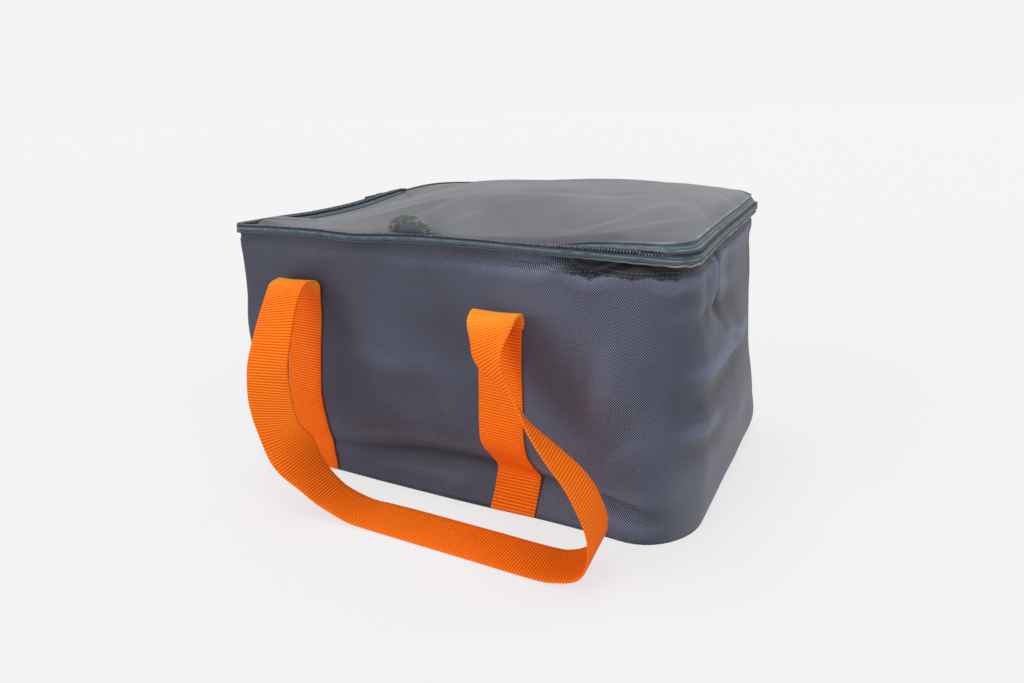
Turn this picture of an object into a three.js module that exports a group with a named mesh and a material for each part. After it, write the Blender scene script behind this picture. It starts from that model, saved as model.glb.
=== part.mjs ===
import * as THREE from 'three';

// A soft insulated cooler bag standing on its base, in millimetres.
// Origin at the bottom centre of the base, X along the width, front face toward -Y, Z up.

// Whole bag
const bagWidth = 394;
const bagDepth = 241;
const coilHeight = 216;
const frontCornerTop = 22;
const frontCornerBase = 35;
const backCornerTop = 14;
const backCornerBase = 30;

// Fabric layers and the clearance between pieces that touch
const fabric = 0.8;
const gap = 0.3;
const foamWall = 5;
const foamBase = 5;
const liningSkin = 0.5;
const basePanel = 0.9;

// Belly of each face, how far it stands out of the rim plane
const frontBelly = 13;
const sideBelly = 6;
const backBelly = 11;
const heightShares = [0, 0.03, 0.065, 0.13, 0.2, 0.28, 0.38, 0.52, 0.66, 0.8, 0.92, 1];
const frontShares = [-0.05, -0.15, -0.28, -0.42, 0, 0.7, 0.96, 1, 0.9, 0.55, 0.12, 0];
const sideShares = [1, 1, 1, 1, 1, 0.9, 0.7, 0.3, -0.1, -0.35, -0.12, 0];
const backShares = [1, 1, 1, 1, 1, 0.95, 0.85, 0.6, 0.3, 0.08, 0, 0];
const bellyPower = 3;

// Rim: hem of the wall, zip tapes, coil halves and edge cords
const hemDrop = 3.2;
const tapeThick = 0.8;
const tapeHalfGap = 0.3;
const bodyTapeDrop = 6.4;
const lidTapeRise = 7.6;
const coilTall = 2.9;
const coilHalfGap = 0.1;
const coilThick = 1.8;
const bodyCordRadius = 0.7;
const lidCordRadius = 0.8;
const liningDrop = 4.1;
const facingThick = 0.8;
const facingReach = 4.7;

// Lid
const lidDome = 22;
const lidFabric = 0.8;
const lidFoam = 6;
const lidLining = 0.6;
const lidInset = 2.2;
const lidGap = 0.4;
const hingeBandDrop = 2.7;
const alongShares = [-0.5, -0.44, -0.36, -0.25, -0.1, 0.1, 0.28, 0.4, 0.47, 0.5];
const riseShares = [0, 0.05, 0.18, 0.5, 0.88, 1, 0.94, 0.66, 0.25, 0];
const acrossPower = 2.4;
const ringShares = [1, 0.965, 0.9, 0.79, 0.62, 0.38];

// Grab tab on the front edge of the lid
const tabCentre = -15;
const tabWidth = 40;
const tabTall = 15;
const tabBinding = 6.5;
const tabThick = 1.6;
const tabBindingThick = 2.4;
const tabSetback = 2.4;

// Webbing: sewn runs and free handles
const webWidth = 38;
const webThick = 1.6;
const leftInset = 75;
const leftAnchorLean = 9;
const rightInset = 133;
const webFoot = 1.4;
const foldRadius = 13;
const foldClear = 0.7;
const pivotHeight = 162.5;
const restLift = 1.3;

// Route of a free handle between its two folds, left to right.
// Each row is along in shares of the bag width, outward from the fold axis in shares of the
// webbing width, up in shares of the coil height, then the turn and the tilt of the webbing's
// width in shares of a half turn.
const handleRouteShares = [
  [-0.3, 0.78, 0.615, 0.0222, 0],
  [-0.295, 1.03, 0.475, 0.0556, 0],
  [-0.293, 0.98, 0.34, 0.1111, 0],
  [-0.286, 0.83, 0.215, 0.2333, 0.0167],
  [-0.257, 0.73, 0.115, 0.4111, 0],
  [-0.193, 0.7, 0.043, 0.5, -0.0278],
  [-0.12, 0.66, 0.009, 0.5111, 0],
  [-0.03, 0.635, 0, 0.5, 0],
  [0.1, 0.63, 0, 0.5, 0],
  [0.245, 0.63, 0, 0.5, 0],
  [0.33, 0.63, 0.018, 0.5, 0],
  [0.371, 0.625, 0.066, 0.5, 0],
  [0.386, 0.63, 0.165, 0.5056, 0],
  [0.363, 0.645, 0.295, 0.5278, -0.0111],
  [0.313, 0.67, 0.4, 0.5722, -0.0556],
  [0.262, 0.67, 0.5, 0.6278, -0.1056],
  [0.215, 0.57, 0.61, 0.72, -0.12],
  [0.178, 0.38, 0.7, 0.92, -0.05],
];
const foldTurnShares = [1, 0.8, 0.6, 0.4, 0.2, 0];
const stepsPerSpan = 4;

// Zip slider on the left side and its pull
const sliderLong = 11;
const sliderTall = 8.2;
const sliderPlate = 1;
const sliderFromTab = 15;
const sliderLip = 1.1;
const sliderClear = 0.3;
const bridgeTall = 2.2;
const bridgeThick = 1.1;
const bridgeRise = 2.8;
const pullLong = 22;
const pullTall = 6.5;
const pullThick = 0.9;
const pullBar = 1;
const pullChamfer = 1.6;
const pullSetback = 2;
const slotFar = 4.2;
const slotTall = 3;
const gripNear = 13;
const gripFar = 18.5;
const gripTall = 2.6;

// Mesh fineness
const cornerSteps = 4;
const longSteps = 9;
const sideSteps = 5;
const cordSides = 6;
const webSteps = 4;
const archSteps = 16;

const halfWidth = bagWidth / 2;
const halfDepth = bagDepth / 2;
const leftAnchor = leftInset - halfWidth;
const rightAnchor = halfWidth - rightInset;
const sliderPark = halfDepth - backCornerTop - sliderFromTab - sliderLong / 2;
const wallTop = coilHeight - hemDrop;
const wallFoot = basePanel + gap;
const foamFoot = wallFoot + foamBase + gap;
const liningTop = coilHeight - liningDrop;
const lidEdge = coilHeight + tapeHalfGap + lidTapeRise + gap;
const wallOut = -tapeThick - gap;

// Entry of a table before a place, and how far the place lies toward the next entry
function findIn(places, place) {
  let i = 0;
  while (i < places.length - 2 && place > places[i + 1]) {
    i += 1;
  }
  const t = Math.min(Math.max((place - places[i]) / (places[i + 1] - places[i]), 0), 1);
  return [i, t];
}

// Value of a table at a place, straight between its entries
function lookUp(places, values, place) {
  const [i, t] = findIn(places, place);
  return values[i] + (values[i + 1] - values[i]) * t;
}

// Value of a table at a place, curved through its entries
function lookUpSmooth(places, values, place) {
  const [i, t] = findIn(places, place);
  const slope = (k) => {
    const a = Math.max(k - 1, 0);
    const b = Math.min(k + 1, places.length - 1);
    return (values[b] - values[a]) / (places[b] - places[a]) * (places[i + 1] - places[i]);
  };
  const rise = values[i + 1] - values[i];
  const cubic = (slope(i) + slope(i + 1) - 2 * rise) * t ** 3;
  const square = (3 * rise - 2 * slope(i) - slope(i + 1)) * t ** 2;
  return values[i] + slope(i) * t + square + cubic;
}

// How far a face stands out at one height
function bellyAt(shares, depth, z) {
  return depth * lookUp(heightShares, shares, z / wallTop);
}

// Share of the belly at a place between the middle and the end of a face
function bellyWeight(place, half) {
  return 1 - Math.min(Math.abs(place) / half, 1) ** bellyPower;
}

// Outward move of a wall point by the bellies of its faces
function bellyMove(x, y, z) {
  const face = y < 0 ? frontShares : backShares;
  const depth = y < 0 ? frontBelly : backBelly;
  const endwise = Math.min(Math.abs(y) / halfDepth, 1) ** 2;
  const sidewise = Math.min(Math.abs(x) / halfWidth, 1) ** 2;
  const moveX = Math.sign(x) * bellyAt(sideShares, sideBelly, z) * bellyWeight(y, halfDepth) * sidewise;
  const moveY = Math.sign(y) * bellyAt(face, depth, z) * bellyWeight(x, halfWidth) * endwise;
  return [moveX, moveY];
}

// Corner radius at a height, front or back
function cornerAt(base, top, z) {
  const share = Math.min(z / wallTop, 1);
  return base + (top - base) * share;
}

// Closed plan outline at a height, counter-clockwise from the right end of the back right corner.
// Out is the distance outside the rim plane, negative inside.
function outline(z, out) {
  const signs = [[1, 1], [-1, 1], [-1, -1], [1, -1]];
  const points = [];
  const corner = (k) => {
    const front = signs[k][1] < 0;
    return front ? cornerAt(frontCornerBase, frontCornerTop, z) : cornerAt(backCornerBase, backCornerTop, z);
  };
  const push = (x, y, normalX, normalY) => {
    const [moveX, moveY] = bellyMove(x, y, z);
    points.push(new THREE.Vector3(x + moveX + normalX * out, y + moveY + normalY * out, z));
  };
  for (let k = 0; k < signs.length; k += 1) {
    const radius = corner(k);
    const centreX = signs[k][0] * (halfWidth - radius);
    const centreY = signs[k][1] * (halfDepth - radius);
    for (let i = 0; i <= cornerSteps; i += 1) {
      const angle = (k + i / cornerSteps) * Math.PI / 2;
      const normalX = Math.cos(angle);
      const normalY = Math.sin(angle);
      push(centreX + radius * normalX, centreY + radius * normalY, normalX, normalY);
    }
    const next = (k + 1) % signs.length;
    const nextRadius = corner(next);
    const alongX = k % 2 === 0;
    const steps = alongX ? longSteps : sideSteps;
    for (let i = 1; i < steps; i += 1) {
      const t = i / steps;
      if (alongX) {
        const from = signs[k][0] * (halfWidth - radius);
        const to = signs[next][0] * (halfWidth - nextRadius);
        push(from + (to - from) * t, signs[k][1] * halfDepth, 0, signs[k][1]);
      } else {
        const from = signs[k][1] * (halfDepth - radius);
        const to = signs[next][1] * (halfDepth - nextRadius);
        push(signs[k][0] * halfWidth, from + (to - from) * t, signs[k][0], 0);
      }
    }
  }
  return points;
}

const backRun = cornerSteps + longSteps;
const sideRun = cornerSteps + sideSteps;
const leftCornerEnd = backRun + cornerSteps;
const loopCount = 2 * (backRun + sideRun);

// One closed solid from points and triangles, turned so that it faces outward
function solid(points, triangles) {
  let volume = 0;
  const cross = new THREE.Vector3();
  for (const [a, b, c] of triangles) {
    volume += points[a].dot(cross.crossVectors(points[b], points[c]));
  }
  const index = [];
  for (const [a, b, c] of triangles) {
    index.push(a, volume > 0 ? b : c, volume > 0 ? c : b);
  }
  const geometry = new THREE.BufferGeometry();
  const flat = [];
  for (const point of points) {
    flat.push(point.x, point.y, point.z);
  }
  geometry.setAttribute('position', new THREE.Float32BufferAttribute(flat, 3));
  geometry.setIndex(index);
  geometry.computeVertexNormals();
  return geometry;
}

// Loft through sections of equal count.
// A section of a sheet lists its near side, then its far side back again.
function loft(sections, closed) {
  const count = sections[0].length;
  const points = sections.flat();
  const triangles = [];
  const spans = closed ? sections.length : sections.length - 1;
  for (let s = 0; s < spans; s += 1) {
    const here = s * count;
    const there = ((s + 1) % sections.length) * count;
    for (let i = 0; i < count; i += 1) {
      const j = (i + 1) % count;
      if (i < count / 2) {
        triangles.push([here + i, here + j, there + j], [here + i, there + j, there + i]);
      } else {
        triangles.push([here + i, here + j, there + i], [here + j, there + j, there + i]);
      }
    }
  }
  if (!closed) {
    const last = (sections.length - 1) * count;
    for (let i = 0; i < count / 2 - 1; i += 1) {
      const far = count - 1 - i;
      triangles.push([far, i + 1, i], [far, far - 1, i + 1]);
      triangles.push([last + i, last + i + 1, last + far], [last + i + 1, last + far - 1, last + far]);
    }
  }
  return solid(points, triangles);
}

// Sections of a wall between two offsets, one for each outline point of a run
function wallSections(heights, outerOut, innerOut, first, count) {
  const outer = heights.map((z) => outline(z, outerOut));
  const inner = heights.map((z) => outline(z, innerOut));
  const sections = [];
  for (let s = 0; s < count; s += 1) {
    const k = (first + s) % loopCount;
    const near = outer.map((ring) => ring[k]);
    const far = inner.map((ring) => ring[k]).reverse();
    sections.push([...near, ...far]);
  }
  return sections;
}

// Heights of the wall rows between a foot and a top
function rowsBetween(foot, top) {
  const rows = heightShares.map((share) => share * wallTop);
  const between = rows.filter((z) => z > foot + hemDrop && z < top - hemDrop);
  return [foot, ...between, top];
}

// Cord of round section laid all round the outline
function cordSections(z, out, radius) {
  const sections = Array.from({ length: loopCount }, () => []);
  for (let side = 0; side < cordSides; side += 1) {
    const angle = side / cordSides * 2 * Math.PI;
    const ring = outline(coilHeight, out + radius * Math.cos(angle));
    const belly = outline(z, 0);
    const rim = outline(coilHeight, 0);
    ring.forEach((point, k) => {
      const placed = point.clone().add(belly[k]).sub(rim[k]);
      placed.z = z + radius * Math.sin(angle);
      sections[k].push(placed);
    });
  }
  return sections;
}

// Slab with a top and a bottom over one plan outline, each surface its own height
function slab(topRing, bottomRing, planRing, topZ, bottomZ) {
  const points = [];
  const triangles = [];
  const count = topRing.length;
  const centre = new THREE.Vector3();
  for (const point of planRing) {
    centre.addScaledVector(point, 1 / count);
  }
  const layer = (ring, heightAt) => {
    const start = points.length;
    ringShares.forEach((share, j) => {
      for (let k = 0; k < count; k += 1) {
        const from = j === 0 ? ring[k] : planRing[k];
        const x = centre.x + (from.x - centre.x) * share;
        const y = centre.y + (from.y - centre.y) * share;
        points.push(new THREE.Vector3(x, y, heightAt(x, y)));
      }
    });
    points.push(new THREE.Vector3(centre.x, centre.y, heightAt(centre.x, centre.y)));
    return start;
  };
  const top = layer(topRing, topZ);
  const bottom = layer(bottomRing, bottomZ);
  const tip = ringShares.length * count;
  for (let k = 0; k < count; k += 1) {
    const n = (k + 1) % count;
    for (let j = 0; j < ringShares.length - 1; j += 1) {
      const a = j * count;
      const b = a + count;
      triangles.push([top + a + k, top + a + n, top + b + n], [top + a + k, top + b + n, top + b + k]);
      triangles.push([bottom + a + n, bottom + a + k, bottom + b + n]);
      triangles.push([bottom + b + n, bottom + a + k, bottom + b + k]);
    }
    const last = tip - count;
    triangles.push([top + last + k, top + last + n, top + tip]);
    triangles.push([bottom + last + n, bottom + last + k, bottom + tip]);
    triangles.push([bottom + k, bottom + n, top + n], [bottom + k, top + n, top + k]);
  }
  return solid(points, triangles);
}

// Flat slab between two heights, its edge following the walls at both
function flatSlab(low, high, out) {
  const topRing = outline(high, out);
  const bottomRing = outline(low, out);
  return slab(topRing, bottomRing, outline(low, out), () => high, () => low);
}

// Height of the lid's upper surface above its edge
function domeAt(x, y) {
  const along = lookUpSmooth(alongShares, riseShares, x / bagWidth);
  const across = 1 - Math.min(Math.abs(y) / halfDepth, 1) ** acrossPower;
  return lidDome * along * across;
}

// Layer of the lid under its upper surface
function lidLayer(low, high, out) {
  const ring = outline(coilHeight, out);
  const plan = outline(coilHeight, 0);
  return slab(ring, ring, plan, (x, y) => high + domeAt(x, y), (x, y) => low + domeAt(x, y));
}

// Distance from the middle plane to the front or back wall surface
function faceOut(x, z, side) {
  const shares = side < 0 ? frontShares : backShares;
  const depth = side < 0 ? frontBelly : backBelly;
  return halfDepth + wallOut + bellyAt(shares, depth, z) * bellyWeight(x, halfWidth);
}

// Webbing sewn flat up a wall, from the foot to the fold
function sewnWebbing(anchor, lean, side) {
  const heights = rowsBetween(webFoot, pivotHeight);
  const sections = heights.map((z) => {
    const centre = anchor - lean * (1 - z / pivotHeight);
    const near = [];
    const far = [];
    for (let i = 0; i <= webSteps; i += 1) {
      const x = centre + webWidth * i / webSteps - webWidth / 2;
      const y = faceOut(x, z, side) + 2 * gap;
      near.push(new THREE.Vector3(x, side * (y + webThick), z));
      far.unshift(new THREE.Vector3(x, side * y, z));
    }
    return [...near, ...far];
  });
  return loft(sections, false);
}

// Distance of a handle's fold axis from the middle plane
function foldAxis(side) {
  const face = Math.max(faceOut(leftAnchor, pivotHeight, side), faceOut(rightAnchor, pivotHeight, side));
  return face + 2 * gap + webThick + foldClear + webThick / 2 + foldRadius;
}

// Free handle: over the left fold, down to the ground, along it and up to the right fold
function freeHandle(side) {
  const axis = foldAxis(side);
  const centres = [];
  const widths = [];
  const add = (x, out, z, turn, tilt) => {
    centres.push(new THREE.Vector3(x, side * out, z));
    const flat = Math.cos(tilt);
    widths.push(new THREE.Vector3(flat * Math.cos(turn), -side * flat * Math.sin(turn), Math.sin(tilt)));
  };
  const fold = (x, share, turn) => {
    const angle = share * Math.PI;
    add(x, axis - foldRadius * Math.cos(angle), pivotHeight + foldRadius * Math.sin(angle), turn, 0);
  };
  for (const share of [...foldTurnShares].reverse()) {
    fold(leftAnchor, share, 0);
  }
  for (const [along, out, up, turn, tilt] of handleRouteShares) {
    add(along * bagWidth, axis + out * webWidth, restLift + up * coilHeight, turn * Math.PI, tilt * Math.PI);
  }
  for (const share of foldTurnShares) {
    fold(rightAnchor, share, Math.PI);
  }
  const path = new THREE.CatmullRomCurve3(centres, false, 'centripetal');
  const spread = new THREE.CatmullRomCurve3(widths, false, 'centripetal');
  const steps = (centres.length - 1) * stepsPerSpan;
  const sections = [];
  for (let s = 0; s <= steps; s += 1) {
    const t = s / steps;
    const centre = path.getPoint(t);
    const along = path.getTangent(t);
    const width = spread.getPoint(t);
    width.addScaledVector(along, -width.dot(along)).normalize();
    const through = along.clone().cross(width).multiplyScalar(webThick / 2);
    width.multiplyScalar(webWidth / 2);
    const corner = (a, b) => centre.clone().addScaledVector(width, a).addScaledVector(through, b);
    sections.push([corner(-1, 1), corner(1, 1), corner(1, -1), corner(-1, -1)]);
  }
  return loft(sections, false);
}

// Upright plate of the grab tab between two arches, cut flat at its foot
function archPlate(outerWidth, outerTall, innerWidth, innerTall, thick, foot) {
  const shape = new THREE.Shape();
  const arch = (width, tall, from, to) => {
    const out = [];
    for (let i = 0; i <= archSteps; i += 1) {
      const angle = from + (to - from) * i / archSteps;
      out.push(new THREE.Vector2(Math.cos(angle) * width / 2, Math.sin(angle) * tall));
    }
    return out;
  };
  const rim = arch(outerWidth, outerTall, 0, Math.PI);
  const hollow = innerWidth > 0 ? arch(innerWidth, innerTall, Math.PI, 0) : [];
  shape.setFromPoints([...rim, ...hollow]);
  const geometry = new THREE.ExtrudeGeometry(shape, { depth: thick, bevelEnabled: false, curveSegments: 1 });
  geometry.translate(0, 0, -thick / 2);
  geometry.rotateX(Math.PI / 2);
  geometry.translate(tabCentre, tabSetback - halfDepth, foot);
  return geometry;
}

const bag = new THREE.Group();
bag.name = 'cooler_bag';

const clothGrey = [0x4e5058, 0.85, 0];
const lidGrey = [0x8b8d93, 0.85, 0];
const foamWhite = [0xe8e8e4, 0.9, 0];
const liningSilver = [0xb9bdc0, 0.35, 0.6];
const tapeTeal = [0x4a5c68, 0.8, 0];
const coilNavy = [0x1f2c3b, 0.5, 0];
const cordPale = [0xa9adae, 0.8, 0];
const webOrange = [0xf07018, 0.8, 0];
const metalDark = [0x3a3d40, 0.35, 1];

function add(name, geometry, look) {
  const [color, roughness, metalness] = look;
  const mesh = new THREE.Mesh(geometry, new THREE.MeshStandardMaterial({ color, roughness, metalness }));
  mesh.name = name;
  bag.add(mesh);
}

// Closed wall all round between two heights and two offsets
function wallRing(foot, top, outerOut, innerOut) {
  return loft(wallSections(rowsBetween(foot, top), outerOut, innerOut, 0, loopCount), true);
}

// Flat band between two heights and two offsets, all round or along a run of the outline
function band(low, high, outerOut, innerOut, first = 0, count = loopCount) {
  return loft(wallSections([low, high], outerOut, innerOut, first, count), count === loopCount);
}

// Outer shell and base
add('outer_wall', wallRing(wallFoot, wallTop, wallOut, wallOut - fabric), clothGrey);
add('base_panel', flatSlab(0, basePanel, wallOut), clothGrey);

// Foam: one piece in the base and one in each wall, butted in the corners
const foamOut = wallOut - fabric - gap;
const foamIn = foamOut - foamWall;
const foamTop = liningTop;
const foamRows = rowsBetween(foamFoot, foamTop);
add('base_foam', flatSlab(wallFoot, wallFoot + foamBase, foamOut - gap), foamWhite);
const halfCorner = cornerSteps / 2;
const foamRuns = [
  ['back_foam', halfCorner, backRun + 1],
  ['left_foam', halfCorner + backRun, sideRun + 1],
  ['front_foam', halfCorner + backRun + sideRun, backRun + 1],
  ['right_foam', halfCorner + 2 * backRun + sideRun, sideRun + 1],
];

// Both ends of an open run are drawn back so that butted pieces keep their clearance
function drawnBack(sections) {
  const last = sections.length - 1;
  const draw = (end, next) => {
    sections[end].forEach((point, i) => {
      const toward = sections[next][i].clone().sub(point).setZ(0).normalize();
      point.addScaledVector(toward, gap);
    });
  };
  draw(0, 1);
  draw(last, last - 1);
  return sections;
}
for (const [name, first, count] of foamRuns) {
  const sections = wallSections(foamRows, foamOut, foamIn, first, count);
  add(name, loft(drawnBack(sections), false), foamWhite);
}

// Lining of the walls and base, and the facing that closes the foam at the top
const liningOut = foamIn - gap;
const liningIn = liningOut - liningSkin;
const liningFoot = foamFoot + liningSkin + gap;
add('base_lining', flatSlab(foamFoot, foamFoot + liningSkin, liningOut - gap), liningSilver);
add('wall_lining', wallRing(liningFoot, liningTop, liningOut, liningIn), liningSilver);
const facingLow = liningTop + gap;
const facingIn = foamOut - facingReach - liningSkin;
add('rim_facing', band(facingLow, facingLow + facingThick, foamOut, facingIn), liningSilver);

// Zip tapes all round, coil halves on three sides, edge cords
const bodyTapeLow = coilHeight - bodyTapeDrop;
const bodyTapeTop = coilHeight - tapeHalfGap;
const lidTapeLow = coilHeight + tapeHalfGap;
const lidTapeTop = lidTapeLow + lidTapeRise;
add('body_zip_tape', band(bodyTapeLow, bodyTapeTop, 0, -tapeThick), tapeTeal);
add('lid_zip_tape', band(lidTapeLow, lidTapeTop, 0, -tapeThick), tapeTeal);
const coilIn = gap;
const coilOut = coilIn + coilThick;
const coilRun = loopCount - leftCornerEnd + 1;
const bodyCoilTop = coilHeight - coilHalfGap;
const lidCoilLow = coilHeight + coilHalfGap;
const bodyCoil = band(bodyCoilTop - coilTall, bodyCoilTop, coilOut, coilIn, leftCornerEnd, coilRun);
const lidCoil = band(lidCoilLow, lidCoilLow + coilTall, coilOut, coilIn, leftCornerEnd, coilRun);
add('body_zip_coil', bodyCoil, coilNavy);
add('lid_zip_coil', lidCoil, coilNavy);
const bodyCordZ = bodyTapeLow - gap - bodyCordRadius;
const bodyCord = cordSections(bodyCordZ, wallOut + gap + bodyCordRadius, bodyCordRadius);
const lidCord = cordSections(lidEdge + lidFabric / 2, gap + lidCordRadius, lidCordRadius);
add('body_edge_cord', loft(bodyCord, true), cordPale);
add('lid_edge_cord', loft(lidCord, true), cordPale);

// Tabs that stop the two ends of the zip, round the back corners
const tabSections = cornerSteps / 2 + 1;
const leftTabFirst = leftCornerEnd - tabSections + 1;
for (const [name, first] of [['zip_end_tab_left', leftTabFirst], ['zip_end_tab_right', 0]]) {
  const sections = wallSections([bodyTapeLow, bodyTapeTop], coilOut, coilIn, first, tabSections);
  add(name, loft(drawnBack(sections), false), clothGrey);
}

// Lid layers, and the cloth band that hinges the lid along the back
add('lid_cover', lidLayer(lidEdge, lidEdge + lidFabric, 0), lidGrey);
const lidFoamTop = lidEdge - lidGap;
add('lid_foam', lidLayer(lidFoamTop - lidFoam, lidFoamTop, -lidInset), foamWhite);
const lidLiningTop = lidFoamTop - lidFoam - lidGap;
add('lid_lining', lidLayer(lidLiningTop - lidLining, lidLiningTop, -lidInset), liningSilver);
const hingeLow = coilHeight - hingeBandDrop;
const hingeCount = longSteps + 1;
add('hinge_band', band(hingeLow, lidTapeTop, wallOut, wallOut - fabric, cornerSteps, hingeCount), clothGrey);

// Grab tab: cloth core in a bound edge, standing on the front edge of the lid
const tabRise = domeAt(tabCentre, tabSetback + tabBindingThick - halfDepth);
const tabFoot = lidEdge + lidFabric + tabRise + gap;
const coreWidth = tabWidth - 2 * tabBinding;
const coreTall = tabTall - tabBinding;
const tabCore = archPlate(coreWidth - 2 * gap, coreTall - gap, 0, 0, tabThick, tabFoot);
const tabBound = archPlate(tabWidth, tabTall, coreWidth, coreTall, tabBindingThick, tabFoot);
add('grab_tab_core', tabCore, lidGrey);
add('grab_tab_binding', tabBound, tapeTeal);

// Sewn webbing on the front and back, and the two free handles
for (const [face, side] of [['front', -1], ['rear', 1]]) {
  add(`${face}_webbing_left`, sewnWebbing(leftAnchor, leftAnchorLean, side), webOrange);
  add(`${face}_webbing_right`, sewnWebbing(rightAnchor, 0, side), webOrange);
  add(`${face}_handle`, freeHandle(side), webOrange);
}

// Slider: plate over the coil with a lip under it and a bridge for the pull
const plateX = -(halfWidth + coilOut + sliderClear);
const sliderFront = sliderPark - sliderLong / 2;
const sliderBack = sliderPark + sliderLong / 2;
const sliderTop = coilHeight + sliderTall / 2;
const sliderLow = coilHeight - sliderTall / 2;
function sliderBody() {
  const section = [
    [plateX, sliderTop],
    [plateX - sliderPlate, sliderTop],
    [plateX - sliderPlate, sliderLow],
    [plateX + coilThick, sliderLow],
    [plateX + coilThick, sliderLow + sliderLip - sliderClear],
    [plateX, sliderLow + sliderLip - sliderClear],
  ];
  const shape = new THREE.Shape(section.map(([x, z]) => new THREE.Vector2(x, z)));
  const geometry = new THREE.ExtrudeGeometry(shape, { depth: sliderLong, bevelEnabled: false });
  geometry.rotateX(Math.PI / 2);
  geometry.translate(0, sliderBack, 0);
  return geometry;
}
add('zip_slider', sliderBody(), metalDark);
const bridgeX = plateX - sliderPlate - gap;
function bridge() {
  const half = sliderLong / 2 - gap;
  const outer = [
    [sliderPark - half, bridgeX],
    [sliderPark - half, bridgeX - bridgeRise],
    [sliderPark + half, bridgeX - bridgeRise],
    [sliderPark + half, bridgeX],
    [sliderPark + half - bridgeThick, bridgeX],
    [sliderPark + half - bridgeThick, bridgeX - bridgeRise + bridgeThick],
    [sliderPark - half + bridgeThick, bridgeX - bridgeRise + bridgeThick],
    [sliderPark - half + bridgeThick, bridgeX],
  ];
  const shape = new THREE.Shape(outer.map(([y, x]) => new THREE.Vector2(x, y)));
  const geometry = new THREE.ExtrudeGeometry(shape, { depth: bridgeTall, bevelEnabled: false });
  geometry.translate(0, 0, coilHeight - bridgeTall / 2);
  return geometry;
}
add('slider_bridge', bridge(), metalDark);

// Pull: plate whose end bar lies under the bridge, its slot round the bridge's front leg
const pullPivotY = sliderPark - sliderLong / 2 + gap + bridgeThick + pullSetback;
const pullX = bridgeX - (bridgeRise - bridgeThick) / 2;
function pull() {
  const end = pullPivotY - pullLong;
  const half = pullTall / 2;
  const shape = new THREE.Shape([
    new THREE.Vector2(pullPivotY + pullBar / 2, half),
    new THREE.Vector2(end + pullChamfer, half),
    new THREE.Vector2(end, half - pullChamfer),
    new THREE.Vector2(end, pullChamfer - half),
    new THREE.Vector2(end + pullChamfer, -half),
    new THREE.Vector2(pullPivotY + pullBar / 2, -half),
  ]);
  for (const [near, far, tall] of [[pullBar / 2, slotFar, slotTall], [gripNear, gripFar, gripTall]]) {
    shape.holes.push(new THREE.Path([
      new THREE.Vector2(pullPivotY - near, -tall / 2),
      new THREE.Vector2(pullPivotY - near, tall / 2),
      new THREE.Vector2(pullPivotY - far, tall / 2),
      new THREE.Vector2(pullPivotY - far, -tall / 2),
    ]));
  }
  const geometry = new THREE.ExtrudeGeometry(shape, { depth: pullThick, bevelEnabled: false });
  geometry.translate(0, 0, -pullThick / 2);
  geometry.rotateX(Math.PI / 2);
  geometry.rotateZ(Math.PI / 2);
  geometry.translate(pullX, 0, coilHeight);
  return geometry;
}
add('zip_pull', pull(), metalDark);

export default bag;
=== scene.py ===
# %% [markdown]
# # A soft cooler bag, dressed on its solid frame
# The frame is the bag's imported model: every layer as a plain solid, in metres, already in place.
# This lesson makes the cloth, webbing, zip and stitches that people see, each on the body that carries it.
# All work is done in millimetres, the maker's unit, and the mesh helpers turn it into metres at the end.

# %% Load the frame and read its driving sizes
import math

import bmesh
import bpy
import numpy as np
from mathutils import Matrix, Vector, noise


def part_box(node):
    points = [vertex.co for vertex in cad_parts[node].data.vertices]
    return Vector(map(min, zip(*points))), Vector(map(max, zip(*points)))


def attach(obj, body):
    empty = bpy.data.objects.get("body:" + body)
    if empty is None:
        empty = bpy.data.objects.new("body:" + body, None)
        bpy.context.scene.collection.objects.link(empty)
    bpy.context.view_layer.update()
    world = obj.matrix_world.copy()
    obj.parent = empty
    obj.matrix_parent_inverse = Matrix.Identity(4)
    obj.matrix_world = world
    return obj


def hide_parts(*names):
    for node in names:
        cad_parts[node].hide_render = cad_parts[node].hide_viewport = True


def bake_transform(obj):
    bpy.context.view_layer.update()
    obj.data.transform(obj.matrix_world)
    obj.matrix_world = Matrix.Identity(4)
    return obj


MM = 0.001
TURN = 2 * math.pi
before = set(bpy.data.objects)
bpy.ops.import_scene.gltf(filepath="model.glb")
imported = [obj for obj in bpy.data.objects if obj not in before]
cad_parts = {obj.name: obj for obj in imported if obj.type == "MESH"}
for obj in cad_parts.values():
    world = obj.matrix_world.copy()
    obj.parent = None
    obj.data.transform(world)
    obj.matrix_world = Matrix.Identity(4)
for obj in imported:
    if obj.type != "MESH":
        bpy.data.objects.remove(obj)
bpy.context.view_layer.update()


def box_mm(node):
    """Lowest and highest corner of a solid of the frame, in millimetres."""
    low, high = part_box(node)
    return np.array(low) / MM, np.array(high) / MM


def heights_of(node, count):
    """Even heights from the foot of a solid to its top."""
    low, high = box_mm(node)
    return np.linspace(low[2], high[2], count)


tape_low, tape_high = box_mm("body_zip_tape")
HALF_WIDTH = float(tape_high[0] - tape_low[0]) / 2
HALF_DEPTH = float(tape_high[1] - tape_low[1]) / 2
COIL_Z = float(box_mm("body_zip_coil")[1][2] + box_mm("lid_zip_coil")[0][2]) / 2
WALL_TOP = float(box_mm("outer_wall")[1][2])
print(f"bag {2 * HALF_WIDTH:.1f} wide, {2 * HALF_DEPTH:.1f} deep, coil at {COIL_Z:.1f} mm")

# %% [markdown]
# ## Camera, floor and light
# The photograph was taken from a little above and from the right, with the camera rolled about two degrees.
# The camera's place and angles are worked out once from the bag's corners and kept as named values.
# Broad lamps far away light the whole floor alike, so it melts into the backdrop with only a soft shadow.

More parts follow.
